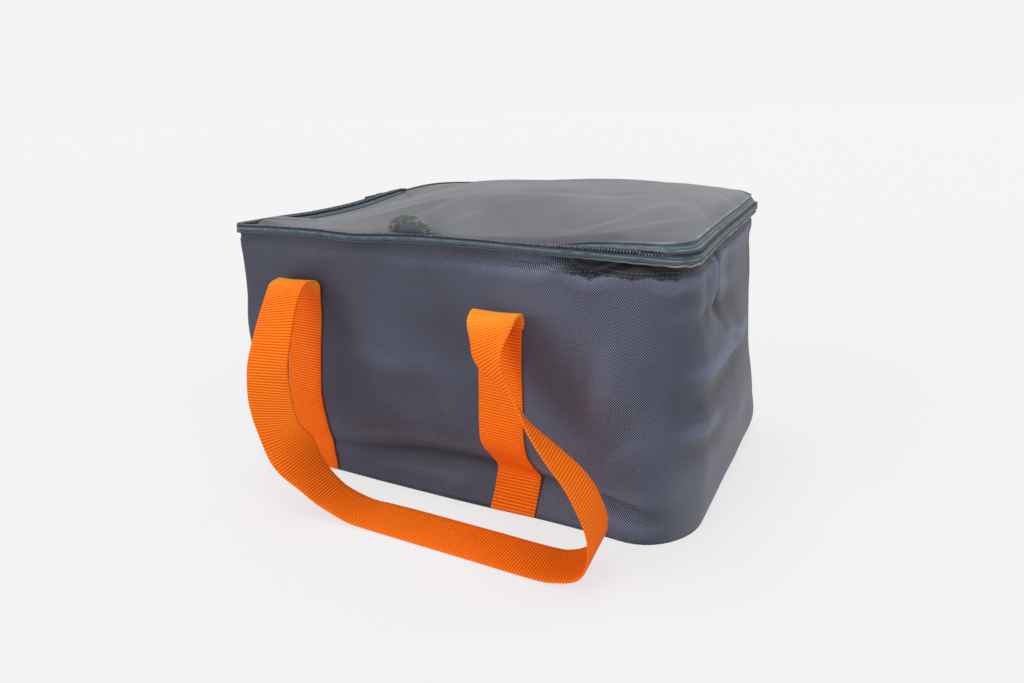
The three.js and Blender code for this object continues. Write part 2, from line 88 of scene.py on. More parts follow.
# %% Camera
CAMERA_PLACE = (297.9, -549.6, 316.5)
CAMERA_YAW = -28.2436
CAMERA_PITCH = -19.389
CAMERA_ROLL = -2.3121
CAMERA_LENS = 25.128
SENSOR_WIDTH = 36.0


def make_camera():
    """A camera that looks along the yaw and pitch, then rolls about its own axis."""
    data = bpy.data.cameras.new("studio_camera")
    data.lens = CAMERA_LENS
    data.sensor_width = SENSOR_WIDTH
    camera = bpy.data.objects.new("studio_camera", data)
    yaw, pitch, roll = (math.radians(a) for a in (CAMERA_YAW, CAMERA_PITCH, CAMERA_ROLL))
    forward = Vector((math.sin(yaw) * math.cos(pitch), math.cos(yaw) * math.cos(pitch), math.sin(pitch)))
    level = Vector((math.cos(yaw), -math.sin(yaw), 0))
    upright = level.cross(forward)
    right = math.cos(roll) * level + math.sin(roll) * upright
    up = math.cos(roll) * upright - math.sin(roll) * level
    matrix = camera.matrix_world.copy()
    for column, axis in enumerate((right, up, -forward)):
        for row in range(3):
            matrix[row][column] = axis[row]
    matrix.translation = Vector(CAMERA_PLACE) * MM
    camera.matrix_world = matrix
    bpy.context.scene.collection.objects.link(camera)
    bpy.context.scene.camera = camera
    return camera


camera = make_camera()
print("camera at", [round(v, 3) for v in camera.matrix_world.translation])

# %% [markdown]
# ## Shader maths as plain expressions
# A finish is a small formula: threads that cross, ribs that repeat, patches of wear.
# A wrapper round a socket lets such a formula be written as one, and adds its nodes behind the scenes.

# %% Socket wrapper and paint box
def feed(tree, socket, value):
    """Link a socket or a term to an input, or set a plain value on it."""
    value = getattr(value, "socket", value)
    if isinstance(value, bpy.types.NodeSocket):
        tree.links.new(value, socket)
    else:
        socket.default_value = value


def add_node(tree, kind, settings=None, sockets=None):
    """Add any node: its settings first, then the values or links of its sockets, by index or name."""
    made = tree.nodes.new(kind)
    for key, value in (settings or {}).items():
        setattr(made, key, value)
    for key, value in (sockets or {}).items():
        feed(tree, made.inputs[key], value)
    return made


class Term:
    """One shader socket that takes part in sums and products."""

    def __init__(self, paint, socket):
        self.paint = paint
        self.socket = socket

    def math(self, operation, *others):
        """This term first, then the others, through one Math node."""
        return self.paint.node("Math", {"operation": operation}, dict(enumerate((self, *others))))

    def __add__(self, other):
        return self.math("ADD", other)

    __radd__ = __add__

    def __mul__(self, other):
        return self.math("MULTIPLY", other)

    __rmul__ = __mul__

    def __sub__(self, other):
        return self.math("SUBTRACT", other)

    def __rsub__(self, other):
        return self.paint.node("Math", {"operation": "SUBTRACT"}, {0: other, 1: self})

    def __abs__(self):
        return self.math("ABSOLUTE")

    def sine(self):
        return self.math("SINE")

    def between(self, low, high):
        """0 below low, 1 above high, and a smooth step from one to the other."""
        settings = {"interpolation_type": "SMOOTHSTEP"}
        return self.paint.node("MapRange", settings, {"Value": self, "From Min": low, "From Max": high})

    def past(self, places):
        """The same step for a coordinate in metres, between two places in millimetres."""
        return self.between(places[0] * MM, places[1] * MM)


class Paint:
    """One material, or the world: its tree, its Principled shader if it has one, and the method that adds
    any node."""

    def __init__(self, name, kind=bpy.data.materials):
        self.owner = kind.new(name)
        self.owner.use_nodes = True
        self.tree = self.owner.node_tree
        self.shader = self.tree.nodes.get("Principled BSDF")

    def node(self, kind, settings=None, sockets=None, output=0):
        """One output of a new shader node, as a term."""
        return Term(self, add_node(self.tree, "ShaderNode" + kind, settings, sockets).outputs[output])

    def place(self):
        """Object coordinates, in metres."""
        return self.node("TexCoord", output="Object")

    def cloth(self):
        """The u and v of the piece's own cloth map, in metres."""
        return self.parts(self.node("UVMap", {"uv_map": CLOTH_MAP}))[:2]

    def parts(self, vector):
        """The three numbers of a vector."""
        split = add_node(self.tree, "ShaderNodeSeparateXYZ", None, {0: vector})
        return [Term(self, out) for out in split.outputs]

    def stored(self, name):
        """A number kept on the piece's points under a name."""
        return self.node("Attribute", {"attribute_name": name}, output="Fac")

    def ribs(self, coordinate, pitch_mm):
        """Rounded ribs from 0 to 1, one for each pitch of a coordinate in metres."""
        return (coordinate * (TURN / (pitch_mm * MM))).sine() * 0.5 + 0.5

    def cloud(self, vector, size_mm, detail, seed):
        """Soft noise from 0 to 1 whose patches are about size_mm across."""
        shifted = self.node("VectorMath", {"operation": "ADD"}, {0: vector, 1: (seed, seed, seed)})
        sockets = {"Vector": shifted, "Scale": 1 / (size_mm * MM), "Detail": detail}
        return self.node("TexNoise", None, sockets, output="Fac")

    def mix(self, factor, first, second):
        """Colour that goes from first to second, where a plain colour is red, green and blue up to 255."""
        made = add_node(self.tree, "ShaderNodeMix", {"data_type": "RGBA"}, {"Factor": factor})
        for socket, value in (("A", first), ("B", second)):
            target = [s for s in made.inputs if s.name == socket and s.type == "RGBA"][0]
            feed(self.tree, target, value if isinstance(value, Term) else srgb(*value))
        return Term(self, [s for s in made.outputs if s.type == "RGBA"][0])

    def finish(self, color=None, roughness=None, height=None, depth_mm=0.1, **constant):
        """Feed what varies and set what doesn't. Depth is how far the height pattern rises."""
        bump = None
        if height is not None:
            bump = self.node("Bump", None, {"Height": height, "Distance": depth_mm * MM, "Strength": 1.0})
        for key, value in {"Base Color": color, "Roughness": roughness, "Normal": bump, **constant}.items():
            if value is not None:
                feed(self.tree, self.shader.inputs[key.replace("_", " ")], value)
        return self.owner


def srgb(red, green, blue):
    """Linear colour of an sRGB colour given from 0 to 255."""
    linear = []
    for value in (red, green, blue):
        share = value / 255
        linear.append(share / 12.92 if share <= 0.04045 else ((share + 0.055) / 1.055) ** 2.4)
    return (*linear, 1.0)


# %% Floor, backdrop and lamps
BACKGROUND = (245, 243, 244)
FLOOR_GREY = 0.86
FLOOR_SHADE = 0.22
FLOOR_REACH = 9000.0
FLOOR_DROP = 0.2
LAMPS = [
    ("overhead", (-0.15, 0.1, 1.0), 34, 1.25),
    ("front_left", (-0.75, -1.0, 0.6), 40, 0.92),
    ("right_side", (1.0, -0.15, 0.75), 30, 0.52),
    ("behind", (0.2, 1.0, 0.7), 50, 0.35),
]
WORLD_LEVEL = 0.36


def show_backdrop(paint, plain, share, rays, output):
    """Put the backdrop's colour over a plain shader, by a share, for what these kinds of ray see."""
    path = paint.tree.nodes.new("ShaderNodeLightPath")
    seen = Term(paint, path.outputs[rays[0]])
    for ray in rays[1:]:
        seen = seen.math("MAXIMUM", Term(paint, path.outputs[ray]))
    kind = "Emission" if paint.shader else "Background"
    glow = paint.node(kind, None, {"Color": srgb(*BACKGROUND), "Strength": 1.0})
    shown = paint.node("MixShader", None, {0: seen * share, 1: Term(paint, plain.outputs[0]), 2: glow})
    feed(paint.tree, paint.tree.nodes[output].inputs[0], shown)


def make_floor():
    """A wide floor that shows the backdrop's colour and takes a light shadow."""
    reach, down = FLOOR_REACH * MM, -FLOOR_DROP * MM
    corners = [(x * reach, y * reach, down) for x, y in ((-1, -1), (1, -1), (1, 1), (-1, 1))]
    mesh = bpy.data.meshes.new("studio_floor")
    mesh.from_pydata(corners, [], [(0, 1, 2, 3)])
    floor = bpy.data.objects.new("studio_floor", mesh)
    bpy.context.scene.collection.objects.link(floor)
    paint = Paint("studio_floor")
    mesh.materials.append(paint.finish(color=(FLOOR_GREY, FLOOR_GREY, FLOOR_GREY, 1), Roughness=0.9))
    show_backdrop(paint, paint.shader, 1 - FLOOR_SHADE, ("Is Camera Ray", "Is Glossy Ray"), "Material Output")


def make_world():
    """Even light from all round, and the backdrop's colour where the camera looks past the floor."""
    paint = Paint("studio_world", bpy.data.worlds)
    bpy.context.scene.world = paint.owner
    light = paint.tree.nodes["Background"]
    light.inputs["Color"].default_value = (1, 1, 1, 1)
    light.inputs["Strength"].default_value = WORLD_LEVEL
    rays = ("Is Camera Ray", "Is Transmission Ray", "Is Glossy Ray")
    show_backdrop(paint, light, 1.0, rays, "World Output")


def make_lamp(name, source, spread, strength):
    """A far, broad lamp in the direction source, as wide in the sky as spread says, in degrees."""
    data = bpy.data.lights.new(name, "SUN")
    data.angle = math.radians(spread)
    data.energy = strength
    lamp = bpy.data.objects.new(name, data)
    lamp.rotation_mode = "QUATERNION"
    lamp.rotation_quaternion = (-Vector(source)).to_track_quat("-Z", "Y")
    bpy.context.scene.collection.objects.link(lamp)


make_floor()
make_world()
for lamp in LAMPS:
    make_lamp(*lamp)
bpy.context.scene.view_settings.view_transform = "Standard"
print(f"{len(LAMPS)} lamps, world light {WORLD_LEVEL}")

# %% [markdown]
# ## Meshes from grids of points
# Nearly every piece of a bag is a strip or a sheet, so one helper turns rows of points into a mesh.
# It also stores a cloth map: u and v in metres along the cloth, which the weaves and ribs read.

# %% Grid helper
CLOTH_MAP = "cloth"


def object_from(name, mesh):
    """An object at the origin that shows a mesh."""
    made = bpy.data.objects.new(name, mesh)
    bpy.context.scene.collection.objects.link(made)
    return made


def grid_mesh(name, points, u, v, wrap_rows=False, wrap_columns=False):
    """Quads over points[row, column] in millimetres, with u by column and v by row.
    A wrapped direction gives one more u or v than it has points, so the map doesn't fold back."""
    points = np.asarray(points, float)
    rows, columns = points.shape[:2]
    row_spans = rows if wrap_rows else rows - 1
    column_spans = columns if wrap_columns else columns - 1
    r, c = np.meshgrid(np.arange(row_spans), np.arange(column_spans), indexing="ij")
    r, c = r.ravel(), c.ravel()
    r1, c1 = r + 1, c + 1
    faces = np.stack([r * columns + c, r * columns + c1 % columns,
                      (r1 % rows) * columns + c1 % columns, (r1 % rows) * columns + c], axis=1)
    mesh = bpy.data.meshes.new(name)
    mesh.vertices.add(rows * columns)
    mesh.vertices.foreach_set("co", (points.reshape(-1, 3) * MM).astype(np.float32).ravel())
    mesh.loops.add(faces.size)
    mesh.loops.foreach_set("vertex_index", faces.astype(np.int32).ravel())
    mesh.polygons.add(len(faces))
    mesh.polygons.foreach_set("loop_start", np.arange(0, faces.size, 4, dtype=np.int32))
    mesh.polygons.foreach_set("loop_total", np.full(len(faces), 4, np.int32))
    u, v = np.asarray(u, float) * MM, np.asarray(v, float) * MM
    if u.ndim == 1:
        u = np.repeat(u[None, :], rows + 1, axis=0)
    if v.ndim == 1:
        v = np.repeat(v[:, None], columns + 1, axis=1)
    corners = [(r, c), (r, c1), (r1, c1), (r1, c)]
    uv = np.stack([np.stack([u[a, b], v[a, b]], axis=-1) for a, b in corners], axis=1)
    layer = mesh.uv_layers.new(name=CLOTH_MAP)
    layer.data.foreach_set("uv", uv.astype(np.float32).ravel())
    mesh.polygons.foreach_set("use_smooth", np.ones(len(faces), bool))
    mesh.update(calc_edges=True)
    mesh.validate()
    return mesh

# %% [markdown]
# ## The bag's plan and how its faces stand out
# Seen from above the bag is a rounded rectangle whose corners are wider at the base than at the rim.
# Every layer, from the outer cloth to the lining, follows one surface, so the layers never cross.
# The surface is made in three steps: the plan outline, the belly of each face, then its folds.

# %% Smooth tables
def smooth_step(t):
    """0 below 0, 1 above 1, and a smooth rise between them."""
    t = np.clip(t, 0, 1)
    return t * t * (3 - 2 * t)


def smooth_table(places, values, x):
    """Value of a table at x, on a curve through its entries."""
    places, values = np.asarray(places, float), np.asarray(values, float)
    slopes = np.gradient(values, places)
    i = np.clip(np.searchsorted(places, x) - 1, 0, len(places) - 2)
    gap = places[i + 1] - places[i]
    t = np.clip((x - places[i]) / gap, 0, 1)
    t2, t3 = t * t, t ** 3
    return ((2 * t3 - 3 * t2 + 1) * values[i] + (t3 - 2 * t2 + t) * gap * slopes[i]
            + (3 * t2 - 2 * t3) * values[i + 1] + (t3 - t2) * gap * slopes[i + 1])


# %% Plan outline
CORNER_STEPS = 12
LONG_STEPS = 128
SIDE_STEPS = 72
CORNER_HEIGHT_SHARES = (0, 0.12, 0.35, 0.6, 0.85, 1)
CORNER_RADII = {
    "back_right": (14, 14, 18, 22, 24, 24),
    "back_left": (30, 28, 26, 22, 17, 14),
    "front_left": (26, 22, 12, 5, 4, 4),
    "front_right": (48, 50, 54, 50, 34, 22),
}
CORNER_SIGNS = {"back_right": (1, 1), "back_left": (-1, 1), "front_left": (-1, -1), "front_right": (1, -1)}


def plan_ring(share):
    """Points and outward normals of the outline at a share of the height, counter-clockwise from the
    right end of the back right corner."""
    width, depth = HALF_WIDTH, HALF_DEPTH
    corners = [(*CORNER_SIGNS[name], float(smooth_table(CORNER_HEIGHT_SHARES, radii, share)))
               for name, radii in CORNER_RADII.items()]
    arcs = []
    for k, (sx, sy, radius) in enumerate(corners):
        angle = (k + np.linspace(0, 1, CORNER_STEPS + 1)) * math.pi / 2
        normal = np.stack([np.cos(angle), np.sin(angle)], axis=1)
        centre = np.array([sx * (width - radius), sy * (depth - radius)])
        arcs.append((centre + radius * normal, normal))
    points, normals = [], []
    for k, (arc, normal) in enumerate(arcs):
        steps = LONG_STEPS if k % 2 == 0 else SIDE_STEPS
        following = arcs[(k + 1) % 4][0][0]
        way = np.linspace(0, 1, steps + 1)[1:-1, None]
        points += [arc, arc[-1] + (following - arc[-1]) * way]
        normals += [normal, np.repeat(normal[-1:], steps - 1, axis=0)]
    return np.concatenate(points), np.concatenate(normals)


rim_points, rim_normals = plan_ring(1.0)
RING = len(rim_points)
RIM_STEPS = np.linalg.norm(np.roll(rim_points, -1, axis=0) - rim_points, axis=1)
RIM_LENGTH = np.concatenate([[0], np.cumsum(RIM_STEPS)])
print(f"outline of {RING} points, {RIM_LENGTH[-1]:.0f} mm round the rim")

# %% Bellies
# How far each face stands out, in millimetres: a row for each place across the face, a value for each height.
# The front bulges more to the right and tucks in above the base. The end faces are widest near the floor.
FRONT_HEIGHTS = (0, 10, 18, 27, 35, 46, 57, 67, 78, 100, 120, 131, 142, 153, 162, 180, 200, 213)
FRONT_BELLY = {
    -197: (2, 2, 2, 2, 2, 2, 2, 2, 2, 2, 1.5, 1, 0.5, 0, 0, 0, 0, 0),
    -112: (3, 2.6, 3.4, 5, 6.2, 8, 9.6, 10.8, 11.2, 7.8, 4, 1.4, -0.6, -1.8, -2.2, -1.5, -0.5, 0),
    -30: (4, -1, -4, -5.6, -6, -1, 6, 10, 10.5, 8, 6.4, 5.4, 4.6, 4, 3.4, 2, 0.8, 0),
    43: (3, -4, -8.4, -11.6, -11.2, -4.6, 5.2, 11.2, 11.4, 8.8, 7, 6.8, 6.6, 6.4, 6, 4, 1.6, 0),
    81: (1, -5.4, -10.4, -13.6, -10.2, -1.7, 7.3, 11.5, 13, 13, 13.2, 13.4, 12.4, 11.2, 9.6, 6.6, 2.6, 0),
    130: (1, -3.4, -7.4, -8.4, -5, 1, 7.2, 10.2, 11.4, 12, 11.6, 11, 10, 8.6, 7.2, 4.6, 1.8, 0),
    176: (3.5, 2, 0, -1, 0, 1.6, 3, 4, 4.6, 5, 4.8, 4.4, 4, 3.4, 2.8, 1.6, 0.6, 0),
    197: (4, 4, 3, 2, 1, 0.5, 0, 0, 0, 0, 0, 0, 0, 0, 0, 0, 0, 0),
}
END_HEIGHTS = (0, 10, 40, 85, 112, 134, 158, 187, 213)
RIGHT_BELLY = {
    -120: (3, 3.4, 3, 2.4, 2, 1, 0, 0, 0),
    -60: (3.5, 6, 6, 5, 4.4, 3, 1, -0.6, 0),
    0: (4, 7.4, 7.2, 5, 3.6, 2, 0, -1.4, 0),
    60: (4.5, 8.2, 7.4, 3, 0.8, -0.6, -1.4, -2.4, 0),
    100: (3.5, 8.6, 7.4, 1, -1.4, -2.2, -2, -3.4, -1),
    120: (2, 5, 5, 0, -2, -2.4, -2.4, -3, -1),
}
LEFT_BELLY = {
    -120: (2, 3, 5, 7, 7.2, 5.6, 1.4, 0.4, 0),
    -60: (2, 4, 6.5, 8, 7.6, 5.6, 1.6, 0, 0),
    20: (2, 5, 7, 7, 5, 3, 0.5, -1, 0),
    120: (0, 2, 3, 3, 2, 1, 0, 0, 0),
}
BACK_HEIGHTS = (0, 40, 80, 110, 140, 170, 213)
BACK_BELLY = {
    -197: (2, 2, 2, 1.5, 0.5, 0, 0),
    -100: (7, 10, 9, 6.6, 3, 0.6, 0),
    0: (8, 11, 10, 7.5, 3.5, 0.8, 0),
    100: (7, 10, 9, 6.6, 3, 0.6, 0),
    197: (2, 3, 1.5, 0, -1, -1, 0),
}
BELLIES = {"front": (FRONT_HEIGHTS, FRONT_BELLY), "back": (BACK_HEIGHTS, BACK_BELLY),
           "right": (END_HEIGHTS, RIGHT_BELLY), "left": (END_HEIGHTS, LEFT_BELLY)}

# How far the rim leaves its plan: outward on the front, right and left, and up or down on the front and left
FRONT_RIM_PLACES = (-197, -150, -110, -68, -30, 0, 30, 70, 109, 157, 197)
FRONT_RIM_OUT = (0, -1.8, -1.0, 1.2, -2.4, -3.4, -2.8, -1.0, 0.6, 0.8, 0)
FRONT_RIM_UP = (0, 0.3, 0.3, -0.3, 0.7, 0.9, 0.8, 0.3, 0, 0, 0)
SIDE_RIM_PLACES = (-120, -70, -20, 30, 80, 120)
RIGHT_RIM_OUT = (0, -1.6, -2.6, -2.2, -2.2, -2.4)
LEFT_RIM_SHARE = 0.5
LEFT_RIM_UP = (3.2, 1.2, -1.0, -1.6, 0.6, 1.4)
LEFT_CORE_SINK = 5.5
RIM_REACH = 70.0


def facing(normals, x, y):
    """How much a normal faces along x, y: 1 on the face, 0 round the corner."""
    return np.clip(normals[..., 0] * x + normals[..., 1] * y, 0, 1) ** 2


def rim_shift(points, normals):
    """Outward and upward shift of the rim at points of the outline."""
    x, y = points[..., 0], points[..., 1]
    front, right, left = facing(normals, 0, -1), facing(normals, 1, 0), facing(normals, -1, 0)
    out = front * smooth_table(FRONT_RIM_PLACES, FRONT_RIM_OUT, x)
    out = out + right * smooth_table(SIDE_RIM_PLACES, RIGHT_RIM_OUT, y)
    out = out + left * LEFT_RIM_SHARE * smooth_table(SIDE_RIM_PLACES, RIGHT_RIM_OUT, y)
    up = front * smooth_table(FRONT_RIM_PLACES, FRONT_RIM_UP, x)
    up = up + left * smooth_table(SIDE_RIM_PLACES, LEFT_RIM_UP, y)
    return out, up


def belly(face, along, z):
    """How far a face stands out at places along it, with one height for each row."""
    heights, table = BELLIES[face]
    stations = np.array([smooth_table(heights, profile, z) for profile in table.values()]).T
    return np.array([smooth_table(list(table), row, places) for row, places in zip(stations, along)])


def belly_out(points, z):
    """Shift of outline points, in x and y, by the bellies of the four faces."""
    x, y = points[..., 0], points[..., 1]
    reach_x = np.clip(np.abs(x) / HALF_WIDTH, 0, 1) ** 4
    reach_y = np.clip(np.abs(y) / HALF_DEPTH, 0, 1) ** 4
    move_x = np.where(x > 0, belly("right", y, z), -belly("left", y, z)) * reach_x
    move_y = np.where(y > 0, belly("back", x, z), -belly("front", x, z)) * reach_y
    return move_x, move_y


# %% [markdown]
# ## Folds
# Coated cloth over foam doesn't crumple. It takes a few long soft folds, and pinches where it is sewn.
# Each fold is a ridge or a valley along a short path on one face: its height, its width and its points.
# On top of the folds lies a low, stretched noise, as the foam is never quite even.

# %% Fold fields
FACES = {"front": (0, -1), "right": (1, 0), "back": (0, 1), "left": (-1, 0)}
FOLDS = {
    "front": [
        (-2.6, 6, [(-186, 30), (-128, 30), (-50, 32), (0, 34),
                   (30, 33), (83, 30), (112, 27), (140, 25), (158, 22)]),
        (-3.4, 4.2, [(104, 31), (134, 27.5), (150, 24.5), (164, 20.5), (180, 20)]),
        (1.5, 6, [(112, 17), (140, 14), (160, 11), (182, 12)]),
        (1.6, 9, [(60, 44), (100, 42), (140, 36), (180, 30)]),
        (1.5, 16, [(-100, 128), (-52, 116), (0, 118), (42, 106)]),
        (-1.2, 18, [(-92, 98), (-40, 88), (20, 84)]),
        (1.0, 7, [(-70, 17), (-10, 16), (30, 15)]),
        (-1.5, 14, [(96, 150), (118, 118), (130, 84)]),
        (1.9, 15, [(150, 176), (140, 132), (132, 96), (120, 66)]),
        (-1.6, 12, [(170, 150), (160, 110), (146, 78)]),
        (1.6, 6, [(165, 90), (150, 76), (138, 62)]),
        (-1.7, 6, [(166, 68), (154, 57), (143, 49)]),
        (-1.6, 20, [(-170, 160), (-160, 110), (-168, 60)]),
        (1.3, 18, [(-60, 186), (0, 182), (60, 188)]),
        (-1.0, 14, [(-60, 160), (-10, 150), (30, 152)]),
    ],
    "right": [
        (-5.0, 7, [(-49, 211), (-44, 196), (-45, 176), (-22, 147)]),
        (4.0, 8, [(-64, 208), (-60, 184), (-54, 160)]),
        (4.6, 9, [(86, 112), (58, 119), (14, 120), (-47, 125), (-101, 130)]),
        (3.0, 7, [(50, 103), (24, 118), (-2, 133), (-56, 136)]),
        (-4.2, 11, [(30, 152), (-20, 158), (-58, 165), (-112, 160)]),
        (-3.2, 13, [(60, 92), (0, 96), (-60, 100), (-104, 104)]),
        (2.2, 20, [(90, 180), (40, 184), (-4, 178)]),
        (2.4, 16, [(80, 52), (10, 50), (-60, 60)]),
        (-2.6, 8, [(-37, 60), (-70, 66), (-102, 69)]),
        (1.8, 8, [(-40, 78), (-74, 82), (-104, 84)]),
    ],
    "left": [
        (-2.6, 12, [(-60, 190), (-44, 160), (-20, 138)]),
        (2.6, 14, [(90, 112), (30, 120), (-40, 116), (-96, 122)]),
        (-2.4, 14, [(70, 84), (10, 78), (-60, 88)]),
        (1.8, 18, [(60, 40), (-10, 44), (-80, 40)]),
    ],
    "back": [
        (-2.0, 8, [(-150, 34), (-60, 30), (40, 33), (140, 29)]),
        (1.8, 18, [(-120, 130), (-40, 116), (40, 122), (120, 108)]),
        (-1.8, 16, [(-140, 96), (-60, 88), (60, 92)]),
        (1.6, 12, [(-160, 176), (-150, 130), (-140, 90)]),
        (-1.6, 12, [(160, 170), (150, 120), (146, 70)]),
    ],
}
FOLD_FADE = 0.6
WALL_NOISE = [(70.0, 1.1, 3.1), (28.0, 0.32, 8.7)]
NOISE_STRETCH = (1.0, 1.0, 1.35)
PUCKER_STRETCH = (1, 1, 0.2)
PUCKER_WANDER = 4
PUCKER_LEAST = 0.4
PUCKER_VARIES = 1.2
PUCKER_PITCH = 9.5
PUCKER_HEIGHT = 0.22
PUCKER_HOLD = 8
PUCKER_DEPTH = 22.0
PUCKER_FADE = 10


def path_distance(a, b, path):
    """Distance from points a, b to a path, and the share along the path of the nearest place."""
    best = np.full(a.shape, 1e9)
    where = np.zeros(a.shape)
    for k in range(len(path) - 1):
        start, stop = np.array(path[k], float), np.array(path[k + 1], float)
        along = stop - start
        t = np.clip(((a - start[0]) * along[0] + (b - start[1]) * along[1]) / (along @ along), 0, 1)
        gap = np.hypot(a - start[0] - t * along[0], b - start[1] - t * along[1])
        nearer = gap < best
        best = np.where(nearer, gap, best)
        where = np.where(nearer, (k + t) / (len(path) - 1), where)
    return best, where


def soft_noise(points, size, seed):
    """Smooth noise from -1 to 1 at points in millimetres, with patches about size across."""
    flat = points.reshape(-1, 3) / size + seed
    values = [noise.noise(Vector(p)) for p in flat]
    return np.array(values).reshape(points.shape[:-1])


def fold_rise(a, b, height, width, path):
    """Rise of one fold at points a, b: rounded across its path, fading at both ends."""
    distance, share = path_distance(a, b, path)
    fade = np.sin(math.pi * np.clip(share, 0.02, 0.98)) ** FOLD_FADE
    return height * np.exp(-(distance / width) ** 2) * fade


def along_face(points, face):
    """Places of points along a face: x on the front and the back, y on the ends."""
    return points[..., 0] if face in ("front", "back") else points[..., 1]


def fold_relief(points, normals):
    """Outward rise of the wall by its folds, noise and seam puckers."""
    relief = np.zeros(points.shape[:-1])
    z = points[..., 2]
    for face, folds in FOLDS.items():
        along = along_face(points, face)
        on_face = facing(normals, *FACES[face])
        for fold in folds:
            relief += fold_rise(along, z, *fold) * on_face
    for size, height, seed in WALL_NOISE:
        relief += height * soft_noise(points * np.array(NOISE_STRETCH), size, seed)
    wander = soft_noise(points * np.array(PUCKER_STRETCH), size=34.0, seed=5.5)
    wave = np.sin(TURN * RIM_LENGTH[:-1] / PUCKER_PITCH + PUCKER_WANDER * wander)
    wave = wave * (PUCKER_LEAST + PUCKER_VARIES * np.abs(wander))
    below = np.clip(WALL_TOP - PUCKER_HOLD - z, 0, None)
    near_seam = np.exp(-below / PUCKER_DEPTH) * np.clip((WALL_TOP - z) / PUCKER_FADE, 0, 1)
    relief += PUCKER_HEIGHT * wave * near_seam
    return relief


# %% [markdown]
# ## The wall surface
# A call gives rows of points round the bag at any heights and at any distance outside the rim plane.
# The hem under the zip tape is drawn in, and the cloth bulges out below it, most on the right of the front.

# %% Wall surface
HEM_Z = 206.0
HEM_PLACES = (-197, -60, 30, 80, 104, 122, 150, 163, 176, 197)
HEM_DEEP = (0.5, 0.9, 1.3, 2.8, 4.8, 5.8, 5.6, 4.2, 5.2, 3.6)
HEM_BULGE = (0.3, 0.5, 0.8, 1.8, 3.0, 3.4, 3.0, 2.4, 2.8, 1.6)
SIDE_HEM_PLACES = (-120, -90, -20, 40, 90, 120)
SIDE_HEM_DEEP = (3.0, 2.6, 2.2, 1.8, 1.4, 1.0)
SIDE_HEM_BULGE = 1.3
BACK_HEM_BULGE = 0.5
HEM_SCALLOP = ((106, 4.0), (128, -3.0), (150, 2.5), (163, 4.5), (180, -1.5))
SCALLOP_WIDTH = 9
GROOVE_WIDTH = 3.6
ROLL_BELOW = 9
ROLL_WIDTH = 5.5
EDGE_HOLD = 2
EDGE_FADE = 8


def hem_relief(points, normals):
    """Groove under the tape and the soft roll below it."""
    x, y, z = points[..., 0], points[..., 1], points[..., 2]
    front, right = facing(normals, 0, -1), facing(normals, 1, 0)
    other = 1 - np.clip(front + right, 0, 1)
    side_deep = smooth_table(SIDE_HEM_PLACES, SIDE_HEM_DEEP, y)
    deep = front * smooth_table(HEM_PLACES, HEM_DEEP, x) + right * side_deep + other
    bulge = front * smooth_table(HEM_PLACES, HEM_BULGE, x) + right * SIDE_HEM_BULGE + BACK_HEM_BULGE * other
    edge = HEM_Z + front * sum(h * np.exp(-((x - at) / SCALLOP_WIDTH) ** 2) for at, h in HEM_SCALLOP)
    groove = -deep * np.exp(-((z - edge) / GROOVE_WIDTH) ** 2)
    roll = bulge * np.exp(-((z - edge + ROLL_BELOW) / ROLL_WIDTH) ** 2)
    return groove + roll


def wall_rows(heights, out, detail=1.0, sink=0.0):
    """Rows of points round the bag: one row for each height, out millimetres outside the rim plane.
    The inner layers sink by sink under the left of the rim, where the lid has sagged into the bag."""
    heights = np.asarray(heights, float)
    share = np.clip(heights / WALL_TOP, 0, 1)
    rows, normals = [], []
    for z, s in zip(heights, share):
        ring, normal = plan_ring(s)
        rows.append(np.column_stack([ring, np.full(len(ring), z)]))
        normals.append(normal)
    points, normals = np.array(rows), np.array(normals)
    z = points[..., 2]
    move_x, move_y = belly_out(points, heights)
    shift_out, shift_up = rim_shift(points, normals)
    near_rim = smooth_step((z - WALL_TOP + RIM_REACH) / RIM_REACH)
    relief = detail * fold_relief(points, normals) * smooth_step((WALL_TOP + EDGE_HOLD - z) / EDGE_FADE)
    relief = relief * smooth_step((z + EDGE_HOLD) / EDGE_FADE) + detail * hem_relief(points, normals)
    offset = out + relief + shift_out * near_rim
    points[..., 0] += move_x + normals[..., 0] * offset
    points[..., 1] += move_y + normals[..., 1] * offset
    points[..., 2] += (shift_up - sink * facing(normals, -1, 0)) * near_rim
    return points


ROW_PITCH = 2.8
WALL_FOOT = 1.2
CLOTH_OUT = -1.1
wall_heights = np.linspace(WALL_FOOT, WALL_TOP, int(WALL_TOP / ROW_PITCH) + 1)
wall_grid = wall_rows(wall_heights, CLOTH_OUT)
plain_grid = wall_rows(wall_heights, CLOTH_OUT, 0.0)
print(f"wall of {wall_grid.shape[0]} rows by {wall_grid.shape[1]} columns")

# %% [markdown]
# ## Finishes
# The bag has few materials, but each has its own grain: coarse coated weave, ribbed webbing, fine zip tape.
# Each finish reads the piece's cloth map, in metres, so its threads keep their real size on every piece.
# Larger patches read object coordinates: cloth that has been folded and handled is never one even tone. Some
# marks there are painted light: sheen, highlights on folds, and shade in hollows and under the zip tape.

# %% Woven cloth, tape and webbing
WEAVE_PITCH = 1.8
WEAVE_DEPTH = 0.12
RIB_PITCH = 2.25
THREAD_PITCH = 1.1
HERRINGBONE_PITCH = 0.9
TAPE_CORD_PITCH = 2.4
TWIST_PITCH = 1.0
TWIST_SLANT = 0.7
FOAM_CELL = 1.3
FOIL_PITCH = 1.6
